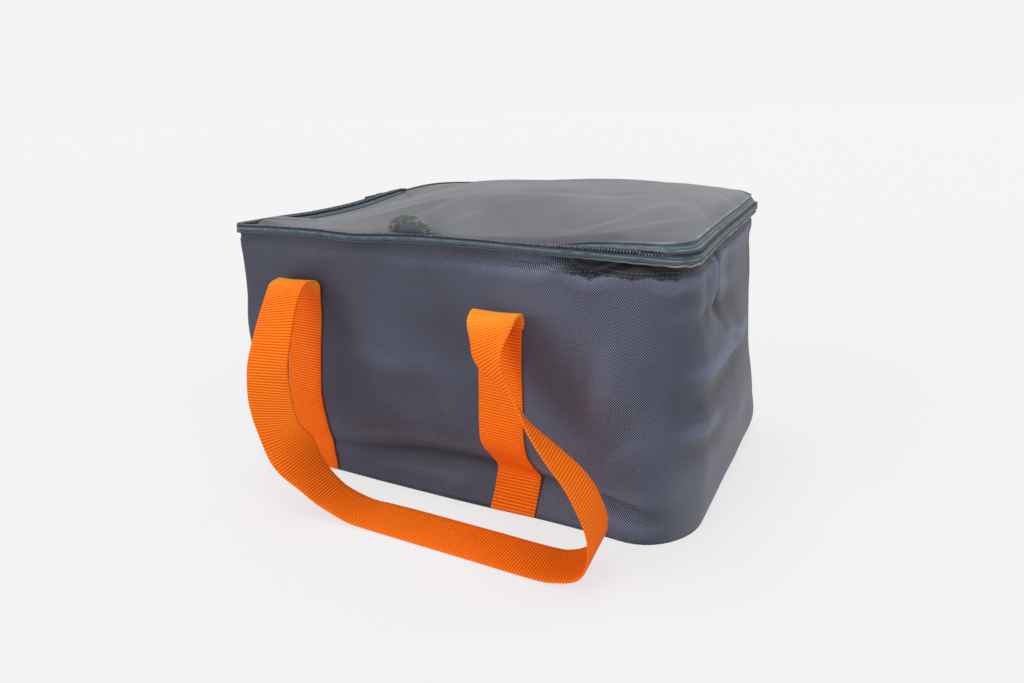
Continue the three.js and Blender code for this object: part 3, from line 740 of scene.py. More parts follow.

# Places, in millimetres, between which each mark on the body's cloth fades in or out: a painted sheen on the
# front, painted shade and shadow under the zip tape, and a paler foot at the right end
SHEEN_FROM = (30, 100)
SHEEN_TO = (160, 195)
SHEEN_BEHIND = (-115, -90)
HEM_SHADE_ABOVE = (200, 202.5)
HEM_SHADE_BEHIND = (-115, -100)
RECESS_ABOVE = (203.2, 205.2)
RECESS_FROM = (98, 120)
RECESS_TO = (182, 190)
RECESS_BEHIND = (-106, -96)
PALE_FOOT_FROM = (170, 195)
PALE_FOOT_BELOW = (30, 100)
# Places, toward the right, where the painted highlights on the zip's tape and cords grow stronger and the
# painted glints on its coil fade
TAPE_RIGHT = (140, 180)
CORD_RIGHT = (100, 185)
COIL_RIGHT = (168, 190)


def weave(paint, pitch_mm):
    """Sines that repeat each pitch along u and along v of the cloth map, multiplied."""
    u, v = paint.cloth()
    per_metre = TURN / (pitch_mm * MM)
    return (u * per_metre).sine() * (v * per_metre).sine()


def scaled(colour, share):
    """A colour whose three numbers are cut to a share."""
    return [value * share for value in colour]


def woven_cloth(name, dark, light, highlight, rough, contrast=0.5, shaded_under_tape=0.0):
    """Coated plain weave: dots where the threads cross, a painted bluish highlight on the crowns and soft
    patches.
    Folds that stand out get the painted highlight, and hollows a painted shade."""
    paint = Paint(name)
    dot = weave(paint, WEAVE_PITCH) * 0.5 + 0.5
    here = paint.place()
    patch = paint.cloud(here, 62, 2.0, 1.7)
    hue = paint.cloud(here, 90, 1.0, 6.6)
    small = paint.cloud(here, 7, 2.0, 4.2)
    grain = paint.cloud(here, 0.9, 1.0, 9.1)
    fold = paint.stored("crown")
    tone = patch.between(0.3, 0.7) * 0.5 + small * 0.15 + grain * 0.35
    base = paint.mix(tone, dark, light)
    base = paint.mix(hue.between(0.45, 0.7) * 0.4, base, (dark[0] + 6, dark[1], dark[2] - 2))
    # Painted highlight on folds that stand out, and painted shade in the hollows between them.
    base = paint.mix(fold.between(0.05, 0.9) * 0.45, base, highlight)
    base = paint.mix((fold * -1).between(0.05, 0.9) * 0.8, base, scaled(dark, 0.42))
    x, y, z = paint.parts(here)
    # A patch on the front where the weave takes a painted bluish sheen: a deeper blue base and bright dots.
    sheen_patch = x.past(SHEEN_FROM) * (1 - x.past(SHEEN_TO)) * (1 - y.past(SHEEN_BEHIND))
    # Painted shade on the strip of the body's cloth just under the zip tape.
    hem = z.past(HEM_SHADE_ABOVE) * (1 - y.past(HEM_SHADE_BEHIND)) * shaded_under_tape
    base = paint.mix(hem * 0.35, base, scaled(dark, 0.7))
    base = paint.mix(sheen_patch * 0.3, base, (38, 42, 62))
    # Near-black painted shadow, with a ragged top edge, in the recess under the zip tape on the right of the
    # front.
    ragged = (z + paint.cloud(here, 9, 2.0, 5.5) * 0.01).past(RECESS_ABOVE)
    recess_shadow = ragged * x.past(RECESS_FROM) * (1 - x.past(RECESS_TO)) * (1 - y.past(RECESS_BEHIND)) * shaded_under_tape
    # Paler toward the foot of the right end.
    pale_foot = x.past(PALE_FOOT_FROM) * (1 - z.past(PALE_FOOT_BELOW))
    base = paint.mix(pale_foot * 0.45, base, (132, 134, 142))
    amount = sheen_patch * contrast * 0.9 + contrast * 0.55
    # The weave's dots: darker between the crossings, the painted highlight on the crossings, and a brighter
    # painted sheen on them in the sheen patch.
    shade = paint.mix((1 - dot).between(0.4, 1.0) * amount, base, scaled(dark, 0.34))
    color = paint.mix(dot.between(0.5, 1.0) * amount, shade, highlight)
    color = paint.mix(dot.between(0.6, 1.0) * sheen_patch * (contrast * 1.2 - 0.2), color, (192, 200, 230))
    # The painted shadow in the recess goes over all the rest.
    color = paint.mix(recess_shadow * 0.95, color, (6, 6, 9))
    roughness = rough - dot * 0.1 + small * 0.12
    return paint.finish(color, roughness, dot + grain * 0.5, WEAVE_DEPTH,
                        Sheen_Weight=0.12, Sheen_Roughness=0.4, Specular_IOR_Level=0.42)


def webbing_finish():
    """Ribbed polypropylene webbing: bright crowns, deeper orange between, fine threads along the ribs."""
    paint = Paint("orange_webbing")
    u, v = paint.cloth()
    rib = paint.ribs(u, RIB_PITCH)
    thread = paint.ribs(v, THREAD_PITCH)
    here = paint.place()
    fuzz = paint.cloud(here, 0.8, 1.0, 2.2)
    patch = paint.cloud(here, 30, 2.0, 6.3)
    tone = rib.between(0.08, 0.5) * 0.55 + fuzz * 0.25 + thread * 0.1 + patch * 0.1
    base = paint.mix(tone, (252, 80, 0), (255, 124, 6))
    color = paint.mix(rib.between(0.78, 1.0) * (thread * 0.45 + 0.45), base, (255, 182, 78))
    # Painted highlight on the upturned folds of the handle, where light falls from above.
    color = paint.mix(paint.stored("fold_highlight") * 0.6, color, (250, 172, 56))
    roughness = 0.6 + fuzz * 0.2 - thread * 0.08
    return paint.finish(color, roughness, thread * 0.35 + fuzz * 0.5, 0.12, Specular_IOR_Level=0.06)


def tape_finish():
    """Fine herringbone zip tape in grey teal: pale streaks along it, painted as highlights and stronger
    toward the right, and nearly black beside the coil.
    """
    paint = Paint("zip_tape")
    u, v = paint.cloth()
    rib = paint.ribs(u + v, HERRINGBONE_PITCH)
    cord = paint.ribs(v, TAPE_CORD_PITCH)
    here = paint.place()
    wear_and_sheen = paint.cloud(here, 9, 3.0, 3.3)
    base = paint.mix(rib * 0.3 + wear_and_sheen * 0.7, (44, 64, 78), (86, 106, 118))
    rightward = paint.parts(here)[0].past(TAPE_RIGHT)
    # Painted highlight in streaks along the tape's cords, stronger toward the right.
    streak = cord.between(0.55, 1.0) * wear_and_sheen.between(0.3, 0.6)
    color = paint.mix(streak * (rightward * 0.25 + 0.6), base, (142, 156, 160))
    from_coil = abs(v - COIL_Z * MM) * (1 / MM) + rightward * 0.9
    color = paint.mix(1 - from_coil.between(2.0, 3.6), color, (12, 22, 34))
    return paint.finish(color, 0.5 + wear_and_sheen * 0.2, rib * 0.5 + cord, 0.12, Specular_IOR_Level=0.45)


# Body, lid and tab are one fabric, given as lit and shaded copies: the body's is darker as painted shade on
# the walls, the lid's lighter as painted light from above, and the tab's lighter again, painted light on its
# shaded face.
body_cloth = woven_cloth("body_weave", (46, 49, 65), (72, 77, 97), (120, 128, 156), 0.58, 0.64, shaded_under_tape=1.0)
lid_cloth = woven_cloth("lid_weave", (86, 88, 94), (110, 113, 120), (138, 143, 152), 0.5, 0.17)
base_cloth = woven_cloth("base_weave", (70, 76, 74), (92, 98, 95), (112, 118, 116), 0.66)
tab_cloth = woven_cloth("tab_weave", (96, 100, 110), (122, 127, 137), (146, 152, 162), 0.55, 0.3)
webbing = webbing_finish()
zip_tape = tape_finish()
woven_finishes = (body_cloth, lid_cloth, base_cloth, tab_cloth, webbing, zip_tape)
print("woven finishes:", [finish.name for finish in woven_finishes])

# %% Coil, cords, thread, foam, foil and metal
def coil_finish():
    """Dark nylon coil, glossy, with glints painted on in pale spots, fewer toward the right."""
    paint = Paint("nylon_coil")
    here = paint.place()
    glint_noise = paint.cloud(here, 2.2, 2.0, 5.1)
    wear_and_sheen = paint.cloud(here, 24, 2.0, 1.1)
    rightward = paint.parts(here)[0].past(COIL_RIGHT)
    # Painted glints: pale spots from a noise, fading toward the right.
    shine = (glint_noise.between(0.3, 0.8) * 0.7 + wear_and_sheen * 0.1) * (1 - rightward * 0.8)
    color = paint.mix(shine, (14, 24, 38), (122, 134, 150))
    return paint.finish(color, 0.24 + glint_noise * 0.2, glint_noise, 0.05, Coat_Weight=0.4, Specular_IOR_Level=0.6)


def cord_finish():
    """Piping covered in grey cloth with a fine twist that runs round it, painted paler toward the right side
    as a highlight.
    """
    paint = Paint("piping_cloth")
    u, v = paint.cloth()
    twist = paint.ribs(u + v * TWIST_SLANT, TWIST_PITCH)
    here = paint.place()
    wear_and_sheen = paint.cloud(here, 14, 3.0, 8.8)
    rightward = paint.parts(here)[0].past(CORD_RIGHT)
    dull = paint.mix(twist * 0.4 + wear_and_sheen * 0.6, (40, 52, 62), (82, 96, 106))
    pale = paint.mix(twist * 0.35 + wear_and_sheen.between(0.3, 0.75) * 0.65, (84, 90, 94), (164, 170, 170))
    # Painted highlight: from the dull colour to the pale one toward the right.
    return paint.finish(paint.mix(rightward, dull, pale), 0.5 + wear_and_sheen * 0.2, twist, 0.08)


def thread_finish(name, dark, light):
    """Twisted sewing thread."""
    paint = Paint(name)
    fleck = paint.cloud(paint.place(), 1.1, 1.0, 7.4)
    return paint.finish(paint.mix(fleck, dark, light), 0.5 + fleck * 0.15, fleck, 0.04)


def foam_finish():
    """Closed-cell foam, off-white, with fine cells and a faint mottle of dents."""
    paint = Paint("insulation_foam")
    here = paint.place()
    cell = paint.node("TexVoronoi", None, {"Vector": here, "Scale": 1 / (FOAM_CELL * MM)})
    dent = paint.cloud(here, 26, 3.0, 2.6)
    color = paint.mix(cell * 0.5 + dent * 0.5, (212, 212, 206), (240, 240, 236))
    return paint.finish(color, 0.75 + dent * 0.15, cell * 0.6 + dent, 0.25)


def foil_finish():
    """Silver foil laminate: crinkles that catch the light, with the weave of the backing pressed through."""
    paint = Paint("foil_lining")
    here = paint.place()
    crease = abs(paint.cloud(here, 24, 4.0, 1.3) - 0.5) * 2
    fine = abs(paint.cloud(here, 6, 3.0, 6.1) - 0.5) * 2
    color = paint.mix(crease * 0.5 + fine * 0.3, (150, 153, 156), (206, 208, 210))
    height = crease + fine * 0.45 + weave(paint, FOIL_PITCH) * 0.05
    return paint.finish(color, 0.24 + fine * 0.22 + crease * 0.1, height, 0.9, Metallic=0.82)


def metal_finish():
    """Dark painted zinc of the slider: scuffed paint over metal, glossy on the flats."""
    paint = Paint("painted_zinc")
    scuff = paint.cloud(paint.place(), 3, 4.0, 2.9)
    color = paint.mix(scuff.between(0.58, 0.72), (34, 37, 43), (140, 144, 148))
    return paint.finish(color, 0.32 + scuff * 0.2, scuff, 0.04, Metallic=0.7)


zip_coil = coil_finish()
edge_cord = cord_finish()
dark_thread = thread_finish("grey_thread", (66, 70, 80), (108, 112, 122))
orange_thread = thread_finish("orange_thread", (232, 88, 6), (255, 132, 28))
foam = foam_finish()
foil = foil_finish()
slider_metal = metal_finish()
other_finishes = (zip_coil, edge_cord, dark_thread, orange_thread, foam, foil, slider_metal)
print("other finishes:", [finish.name for finish in other_finishes])

# %% [markdown]
# ## Dressing a piece
# Each mesh becomes an object with its finish and the body that carries it, and the solid that it stands for
# is hidden. One helper says all of that in one line for each piece, so nothing is left behind at a pose.

# %% Dress helper
def dress(obj, body, slot, material, *nodes):
    """Give a piece its finish and body, and hide the solids it stands for. The slot is not used."""
    obj.data.materials.clear()
    obj.data.materials.append(material)
    if body:
        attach(obj, body)
    if nodes:
        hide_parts(*nodes)
    return obj


def close_ends(mesh, merge=0.0):
    """Merge points closer than merge, fill open ends and make all faces point outward."""
    work = bmesh.new()
    work.from_mesh(mesh)
    if merge:
        bmesh.ops.remove_doubles(work, verts=work.verts, dist=merge * MM)
    edges = [edge for edge in work.edges if edge.is_boundary]
    if edges:
        bmesh.ops.holes_fill(work, edges=edges, sides=0)
    bmesh.ops.recalc_face_normals(work, faces=work.faces)
    work.to_mesh(mesh)
    work.free()
    mesh.update()


def store(mesh, name, values, kind="FLOAT"):
    """Keep values on a mesh's points, for its finish or a tree to read."""
    kept = mesh.attributes.new(name, kind, "POINT")
    kept.data.foreach_set("value" if kind == "FLOAT" else "vector", np.asarray(values, np.float32).ravel())


def map_flat(mesh):
    """Make the cloth map simply read x and y."""
    corner = np.empty(len(mesh.loops), np.int32)
    mesh.loops.foreach_get("vertex_index", corner)
    co = np.empty(len(mesh.vertices) * 3, np.float32)
    mesh.vertices.foreach_get("co", co)
    mesh.uv_layers[CLOTH_MAP].data.foreach_set("uv", co.reshape(-1, 3)[corner, :2].ravel())


def around(first, count):
    """A run of the outline's columns from the first, past the end to the start if need be."""
    return (first + np.arange(count)) % RING


def front_column(ring, x):
    """Column of a ring that lies nearest to a place along its front half."""
    from_place = np.where(ring[:, 1] > 0, np.inf, np.abs(ring[:, 0] - x))
    return int(np.argmin(from_place))


FRONT_MIDDLE = front_column(rim_points, 0)


def layer(name, heights, near, far, columns=None, rows=wall_rows, detail=1.0, sink=0.0):
    """A closed layer between two offsets, all round or over a run of columns."""
    outer = rows(heights, near, detail, sink)
    inner = rows(heights[::-1], far, detail, sink)
    points = np.concatenate([outer, inner])
    back = heights[-1] * 2 - heights[::-1]
    v = np.concatenate([heights, back, [back[-1] + abs(near - far)]])
    if columns is None:
        steps = np.linalg.norm(np.roll(points, -1, axis=1) - points, axis=2)
        u = np.concatenate([np.zeros((len(points), 1)), np.cumsum(steps, axis=1)], axis=1)
        u -= u[:, FRONT_MIDDLE:FRONT_MIDDLE + 1]
        mesh = grid_mesh(name, points, np.concatenate([u, u[:1]]), v, wrap_rows=True, wrap_columns=True)
    else:
        u = np.concatenate([[0], np.cumsum(RIM_STEPS[columns[:-1]])]) + RIM_LENGTH[columns[0]]
        mesh = grid_mesh(name, points[:, columns], np.append(u, u[-1]), v, wrap_rows=True)
    close_ends(mesh)
    return object_from(name, mesh)


def smoothed(values, rows):
    """Running mean down a grid, with its ends held."""
    padded = np.pad(values, ((rows, rows), (0, 0)), mode="edge")
    return np.mean([padded[k:k + len(values)] for k in range(2 * rows + 1)], axis=0)


def crown_of(relief, rows, columns, full):
    """How far a grid of relief stands above its surroundings, a window of rows down and columns round:
    from -1 to 1, which it reaches where it stands full millimetres above them."""
    down = smoothed(relief, rows)
    around_it = np.mean([np.roll(down, k, axis=1) for k in range(-columns, columns + 1)], axis=0)
    return np.clip((relief - around_it) / full, -1, 1)


FABRIC = 0.8
GAP = 0.3
WALL_CROWN = (7, 9, 2.2)
outer_wall = layer("wall_cloth", wall_heights, CLOTH_OUT, CLOTH_OUT - FABRIC)
rise = (wall_grid - plain_grid)[..., :2]
outward = np.where(rise * wall_grid[..., :2] > 0, 1, -1) * np.abs(rise)
crown = np.zeros(len(outer_wall.data.vertices))
crown[:wall_grid[..., 0].size] = crown_of(outward.sum(axis=-1), *WALL_CROWN).ravel()
# The crown gives the cloth a painted highlight where folds stand out and a painted shade in the hollows.
store(outer_wall.data, "crown", crown)
dress(outer_wall, "shell", "body_cloth", body_cloth, "outer_wall")
print(f"{outer_wall.name}: {len(outer_wall.data.polygons)} faces")

# %% [markdown]
# ## Foam, lining and base
# Behind the cloth stand four foam sheets on a fifth, and a foil lining covers them inside.
# Each follows the wall surface at its own distance, so that the wall keeps an even thickness in its folds.
# Foam and lining take the same folds as the cloth, so no layer shows through another.

# %% Foam and linings
FOAM_NEAR = CLOTH_OUT - FABRIC - GAP
FOAM_WALL = 5.0
LINING_NEAR = FOAM_NEAR - FOAM_WALL - GAP
LINING_THICK = 0.5
foam_heights = heights_of("left_foam", len(wall_heights))
LONG_RUN = CORNER_STEPS + LONG_STEPS
END_RUN = CORNER_STEPS + SIDE_STEPS
FOAM_RUNS = {
    "right_foam": (2 * LONG_RUN + END_RUN + CORNER_STEPS, SIDE_STEPS),
    "back_foam": (1, LONG_RUN + CORNER_STEPS - 2),
    "left_foam": (LONG_RUN + CORNER_STEPS, SIDE_STEPS),
    "front_foam": (LONG_RUN + END_RUN + 1, LONG_RUN + CORNER_STEPS - 2),
}
for node, (first, steps) in FOAM_RUNS.items():
    columns = around(first, steps + 1)
    sheet = layer(node + "_sheet", foam_heights, FOAM_NEAR, FOAM_NEAR - FOAM_WALL, columns,
                  sink=LEFT_CORE_SINK)
    dress(sheet, "shell", "foam", foam, node)
    print(f"{sheet.name}: {len(sheet.data.polygons)} faces")

lining_heights = heights_of("wall_lining", len(wall_heights))
lining = layer("wall_foil", lining_heights, LINING_NEAR, LINING_NEAR - LINING_THICK, sink=LEFT_CORE_SINK)
dress(lining, "shell", "lining", foil, "wall_lining")

# %% Sheets of the floor
FLOOR_RINGS = 26
SPINE_SHARE = 0.03


def floor_sheet(name, z_low, z_high, inset):
    """A flat closed sheet with the outline of the base: rings from the edge in to a spine.
    Each face of the sheet takes the wall's outline at its own height."""
    shares = np.linspace(1, SPINE_SHARE, FLOOR_RINGS)
    faces = []
    for z in (z_low, z_high):
        outer = wall_rows([max(z, WALL_FOOT)], CLOTH_OUT - inset)[0]
        spine = np.zeros(outer.shape)
        spine[:, 0] = np.clip(outer[:, 0], HALF_DEPTH - HALF_WIDTH, HALF_WIDTH - HALF_DEPTH)
        rows = np.array([spine + (outer - spine) * share for share in shares])
        rows[..., 2] = z
        faces.append(rows)
    points = np.concatenate([faces[0][::-1], faces[1]])
    v = np.concatenate([-shares[::-1], shares]) * HALF_DEPTH
    mesh = grid_mesh(name, points, RIM_LENGTH, v)
    map_flat(mesh)
    close_ends(mesh)
    return object_from(name, mesh)


FLOOR_SHEETS = [
    ("base_cloth_panel", "base_panel", 0.0, "body_cloth", base_cloth),
    ("base_foam_sheet", "base_foam", FABRIC + GAP, "foam", foam),
    ("base_foil", "base_lining", FABRIC + 2 * GAP + FOAM_WALL + LINING_THICK + GAP, "lining", foil),
]
for name, node, inset, slot, finish in FLOOR_SHEETS:
    low, high = box_mm(node)
    dress(floor_sheet(name, low[2], high[2], inset), "shell", slot, finish, node)

# %% [markdown]
# ## The rolled zip band
# On the right the zip stands upright. Toward the left the empty lid sinks, so its tape rolls inward over the
# rim. The roll is one turn about the coil line, by an angle from a table for each face. Tape, coil, cord and
# the lid's edge all take the same turn, so that the band never comes apart.

# %% Rim rows
ROLLS = {
    "front": ((-197, -90, -20, 40, 80, 110, 143, 168, 185, 197),
              (100, 104, 112, 120, 108, 86, 66, 60, 48, 42)),
    "left": ((-120, -80, -40, 0, 60, 95, 120), (102, 108, 114, 116, 114, 106, 98)),
    "back": ((-197, -158, -110, 0, 150, 197), (98, 54, 14, 0, 10, 44)),
    "right": ((-120, -60, 0, 60, 120), (42, 24, 18, 24, 46)),
}
ROLL_PIVOT = COIL_Z + 0.3
PIVOT_DROP = 2.7
FRONT_LIFT = 2.2
TURNED_FROM = 30
TURNED_OVER = 60
MITRE_REST = 0.03
WANDER_BAND = 0.25
RIPPLE_BAND = 0.4
WANDER_UP = 0.35
RIPPLE_FADE = 6
rim_high = np.column_stack([rim_points, np.full(RING, COIL_Z)])
shift_out, shift_up = rim_shift(rim_high, rim_normals)


def rim_roll(points, normals):
    """Inward roll of the lid's band, in radians, at points of the outline."""
    degrees = sum(smooth_table(*table, along_face(points, face)) * facing(normals, *FACES[face])
                  for face, table in ROLLS.items())
    return np.radians(np.clip(degrees, 0, None))


ring_roll = rim_roll(rim_high, rim_normals)
left_side = facing(rim_normals, -1, 0)
turned_in = smooth_step((np.degrees(ring_roll) - TURNED_FROM) / TURNED_OVER)
ring_pivot = ROLL_PIVOT - PIVOT_DROP * turned_in
ring_lift = FRONT_LIFT * turned_in * facing(rim_normals, 0, -1)
half_sizes = np.array([HALF_WIDTH, HALF_DEPTH])
rim_flat = np.column_stack([rim_points, np.zeros(RING)])
band_wander = soft_noise(rim_flat, size=46.0, seed=2.2)
band_ripple = soft_noise(rim_flat, size=13.0, seed=7.7)


def rim_rows(heights, out, detail=1.0, sink=0.0, lift=0.0):
    """Rows round the rim at one offset: upright below the coil, rolled inward above it.
    A lift for each column is added to the offset. Where a row lies further in than a corner's radius,
    its points are drawn together on the corner's mitre, so that the rolled band doesn't cross itself."""
    out = np.asarray(out, float).reshape(-1, 1) + np.broadcast_to(lift, (len(heights), RING))
    rows = []
    for z, o in zip(heights, out):
        rise = z - ring_pivot
        turned_out = o * np.cos(ring_roll) - rise * np.sin(ring_roll)
        turned_up = ring_pivot + o * np.sin(ring_roll) + rise * np.cos(ring_roll)
        side = np.where(rise > 0, turned_out, o)
        up = np.where(rise > 0, turned_up, z) + ring_lift
        below = np.clip((COIL_Z - z) / RIPPLE_FADE, 0, 1)
        side = side + shift_out + detail * (WANDER_BAND * band_wander + RIPPLE_BAND * band_ripple * below)
        up = up + shift_up + detail * WANDER_UP * band_wander - sink * left_side
        xy = rim_points + rim_normals * side[:, None]
        mitred = np.clip(xy, -half_sizes - side[:, None], half_sizes + side[:, None])
        rows.append(np.column_stack([mitred + (xy - mitred) * MITRE_REST, up]))
    return np.array(rows)


def cord(name, z, out, radius, wobble_out=0.0, wobble_up=0.0):
    """A closed cord of round section that lies along the whole rim."""
    rows = []
    for angle in np.linspace(0, TURN, CORD_SIDES, endpoint=False):
        ring = rim_rows([z + radius * math.sin(angle)], out - radius * math.cos(angle))[0]
        ring[:, :2] += rim_normals * np.reshape(wobble_out, (-1, 1))
        ring[:, 2] += wobble_up
        rows.append(ring)
    mesh = grid_mesh(name, rows, RIM_LENGTH, np.linspace(0, TURN * radius, CORD_SIDES + 1), True, True)
    close_ends(mesh)
    return object_from(name, mesh)


# %% Tapes, edge cords and facing
TAPE_THICK = 0.8
CORD_SIDES = 8
BODY_CORD = (208.6, -0.1, 0.7)
LID_CORD = (224.6, 0.55, 0.8)
# The body's cord ripples all round and puckers on the right: each pair is outward, then up
CORD_RIPPLE = (0.35, 0.5)
CORD_PUCKER = (0.55, 0.7)
CORD_PITCH = 11
CORD_WANDER = 3
CORNER_SHARE = 0.3
FACING_NEAR = -1.3
FACING_STEP = 0.9
FACING_WIDE = 6.6
TAPES = [("lower_tape", "body_zip_tape", "shell"), ("upper_tape", "lid_zip_tape", "lid")]
for name, node, body in TAPES:
    tape = layer(name, heights_of(node, 9), 0.0, -TAPE_THICK, rows=rim_rows)
    dress(tape, body, "tape", zip_tape, node)

right_share = facing(rim_normals, 1, 0) + facing(rim_normals, 1, -1) * CORNER_SHARE
pucker = np.sin(TURN * RIM_LENGTH[:-1] / CORD_PITCH + CORD_WANDER * band_wander)
cord_out, cord_up = (ripple * band_ripple + rise * pucker * right_share
                     for ripple, rise in zip(CORD_RIPPLE, CORD_PUCKER))
dress(cord("body_piping", *BODY_CORD, cord_out, cord_up), "shell", "edge_cord", edge_cord, "body_edge_cord")
dress(cord("lid_piping", *LID_CORD), "lid", "edge_cord", edge_cord, "lid_edge_cord")


def facing_strip():
    """Cloth strip that closes the top of the foam, all round."""
    heights = heights_of("rim_facing", 2)
    outer = rim_rows(heights, FACING_NEAR - FACING_STEP, sink=LEFT_CORE_SINK)
    inner = rim_rows(heights[::-1], FACING_NEAR - FACING_WIDE, sink=LEFT_CORE_SINK)
    mesh = grid_mesh("rim_strip", np.concatenate([outer, inner]), RIM_LENGTH, [0, 1, 7, 8, 15], True, True)
    close_ends(mesh)
    return object_from("rim_strip", mesh)


dress(facing_strip(), "shell", "body_cloth", body_cloth, "rim_facing")
print("zip band: tapes, two cords and the facing strip")

# %% [markdown]
# ## Things that repeat: zip teeth and stitches
# A coil zip has hundreds of turns on each side, and the seams have some two thousand stitches.
# A Geometry Nodes tree makes them: it walks a line of points at a steady pitch and sets a small rounded bar
# at each step, turned to the line's direction and to the outward direction stored on the points.
# The bars are cubes rounded once, of 24 faces, so that thousands of them stay light.

# %% Bead tree
def tree_input(tree, name, kind, value=None):
    """Give a tree a named input of a kind, with its usual value."""
    socket = tree.interface.new_socket(name, in_out="INPUT", socket_type="NodeSocket" + kind)
    if value is not None:
        socket.default_value = value
    return socket


def geometry_node(tree, kind, settings=None, sockets=None):
    """First output of a new node in a geometry tree."""
    return add_node(tree, kind, settings, sockets).outputs[0]


def begin_tree(name, sizes):
    """A new tree that takes a geometry, its sizes and a finish, and the sockets that it is given."""
    tree = bpy.data.node_groups.new(name, "GeometryNodeTree")
    tree_input(tree, "Geometry", "Geometry")
    for key, value in sizes.items():
        tree_input(tree, key, "Float", value * MM)
    tree_input(tree, "Finish", "Material")
    tree.interface.new_socket("Geometry", in_out="OUTPUT", socket_type="NodeSocketGeometry")
    return tree, tree.nodes.new("NodeGroupInput").outputs


def end_tree(tree, geometry, finish):
    """Turn instances into real geometry, give it its finish and hand it out."""
    real = geometry_node(tree, "GeometryNodeRealizeInstances", None, {0: geometry})
    finished = geometry_node(tree, "GeometryNodeSetMaterial", None, {"Geometry": real, "Material": finish})
    add_node(tree, "NodeGroupOutput", None, {0: finished})
    return tree


def bead_tree():
    """Rounded bars at a steady pitch along a line of points."""
    tree, given = begin_tree("beads_along_line", {"Pitch": 3.0, "Thick": 0.5, "Long": 2.0, "Tall": 0.5})
    line = geometry_node(tree, "GeometryNodeMeshToCurve", None, {"Mesh": given["Geometry"]})
    steps = geometry_node(tree, "GeometryNodeResampleCurve", {"mode": "LENGTH"},
                          {"Curve": line, "Length": given["Pitch"]})
    tangent = geometry_node(tree, "GeometryNodeInputTangent")
    outward = geometry_node(tree, "GeometryNodeInputNamedAttribute", {"data_type": "FLOAT_VECTOR"},
                            {"Name": "outward"})
    along = geometry_node(tree, "FunctionNodeAlignRotationToVector", {"axis": "Y"}, {"Vector": tangent})
    turned = geometry_node(tree, "FunctionNodeAlignRotationToVector", {"axis": "X", "pivot_axis": "Y"},
                           {"Rotation": along, "Vector": outward})
    size = geometry_node(tree, "ShaderNodeCombineXYZ", None,
                         {0: given["Thick"], 1: given["Long"], 2: given["Tall"]})
    cube = geometry_node(tree, "GeometryNodeMeshCube", None, {"Size": size})
    rounded = geometry_node(tree, "GeometryNodeSubdivisionSurface", None,
                            {"Mesh": cube, "Level": 1, "Edge Crease": 0.35})
    smooth = geometry_node(tree, "GeometryNodeSetShadeSmooth", None, {0: rounded})
    bars = geometry_node(tree, "GeometryNodeInstanceOnPoints", None,
                         {"Points": steps, "Instance": smooth, "Rotation": turned})
    return end_tree(tree, bars, given["Finish"])


def grow(obj, tree, **inputs):
    """Run a tree on an object and keep its result as the object's plain mesh."""
    modifier = obj.modifiers.new("grow", "NODES")
    modifier.node_group = tree
    for item in tree.interface.items_tree:
        if item.in_out == "INPUT" and item.name in inputs:
            modifier[item.identifier] = inputs[item.name]
    graph = bpy.context.evaluated_depsgraph_get()
    mesh = bpy.data.meshes.new_from_object(obj.evaluated_get(graph))
    obj.modifiers.remove(modifier)
    old = obj.data
    obj.data = mesh
    mesh.name = obj.name
    bpy.data.meshes.remove(old)
    return obj


def line_object(name, lines):
    """Lines of points, each with its outward directions, as one mesh of edges."""
    points = np.concatenate([points for points, _ in lines]) * MM
    outward = np.concatenate([outward for _, outward in lines])
    edges, first = [], 0
    for line, _ in lines:
        edges += [(first + k, first + k + 1) for k in range(len(line) - 1)]
        first += len(line)
    mesh = bpy.data.meshes.new(name)
    mesh.from_pydata(points.tolist(), edges, [])
    store(mesh, "outward", outward, "FLOAT_VECTOR")
    return object_from(name, mesh)


BEAD_FACES = 24
beads = bead_tree()


def bead_row(name, lines, pitch, thick, long, tall, finish):
    """Beads of one size and finish along lines."""
    made = line_object(name, lines)
    sizes = {"Pitch": pitch * MM, "Thick": thick * MM, "Long": long * MM, "Tall": tall * MM}
    return grow(made, beads, Finish=finish, **sizes)


# %% Zip teeth
TOOTH = {"pitch": 2.1, "thick": 1.7, "long": 1.25, "tall": 2.1}
COIL_OUT = 1.15
COIL_INTO_CORNER = 4
COIL_SUNK = 1.9
SUNK_FROM = 168
SUNK_FADE = 14
SUNK_BACK = HALF_DEPTH - 4
TOOTH_OFF = 1.2
sunk_share = smooth_step((rim_points[:, 0] - SUNK_FROM) / SUNK_FADE) * (rim_points[:, 1] < SUNK_BACK)
back_end = LONG_RUN + CORNER_STEPS
coil_columns = around(back_end - COIL_INTO_CORNER, RING - back_end + 2 * COIL_INTO_CORNER)


def coil_line(z, shift):
    """Line of the teeth's middles at a height, started a part of a pitch further on."""
    ring = rim_rows([z], COIL_OUT, lift=-COIL_SUNK * sunk_share)[0][coil_columns]
    roll = np.where(z > ring_pivot, ring_roll, 0)[coil_columns]
    normal = rim_normals[coil_columns]
    outward = np.column_stack([normal * np.cos(roll)[:, None], np.sin(roll)])
    start = ring[1] - ring[0]
    ring[0] += start / np.linalg.norm(start) * shift
    return ring, outward


for node, body, z, shift in (("body_zip_coil", "shell", COIL_Z - TOOTH_OFF, 0.0),
                             ("lid_zip_coil", "lid", COIL_Z + TOOTH_OFF, TOOTH["pitch"] / 2)):
    line = coil_line(z, shift)
    teeth = bead_row(node.replace("zip_coil", "zip_teeth"), [line], finish=zip_coil, **TOOTH)
    dress(teeth, body, "coil", zip_coil, node)
    print(f"{teeth.name}: {len(teeth.data.polygons)} faces")

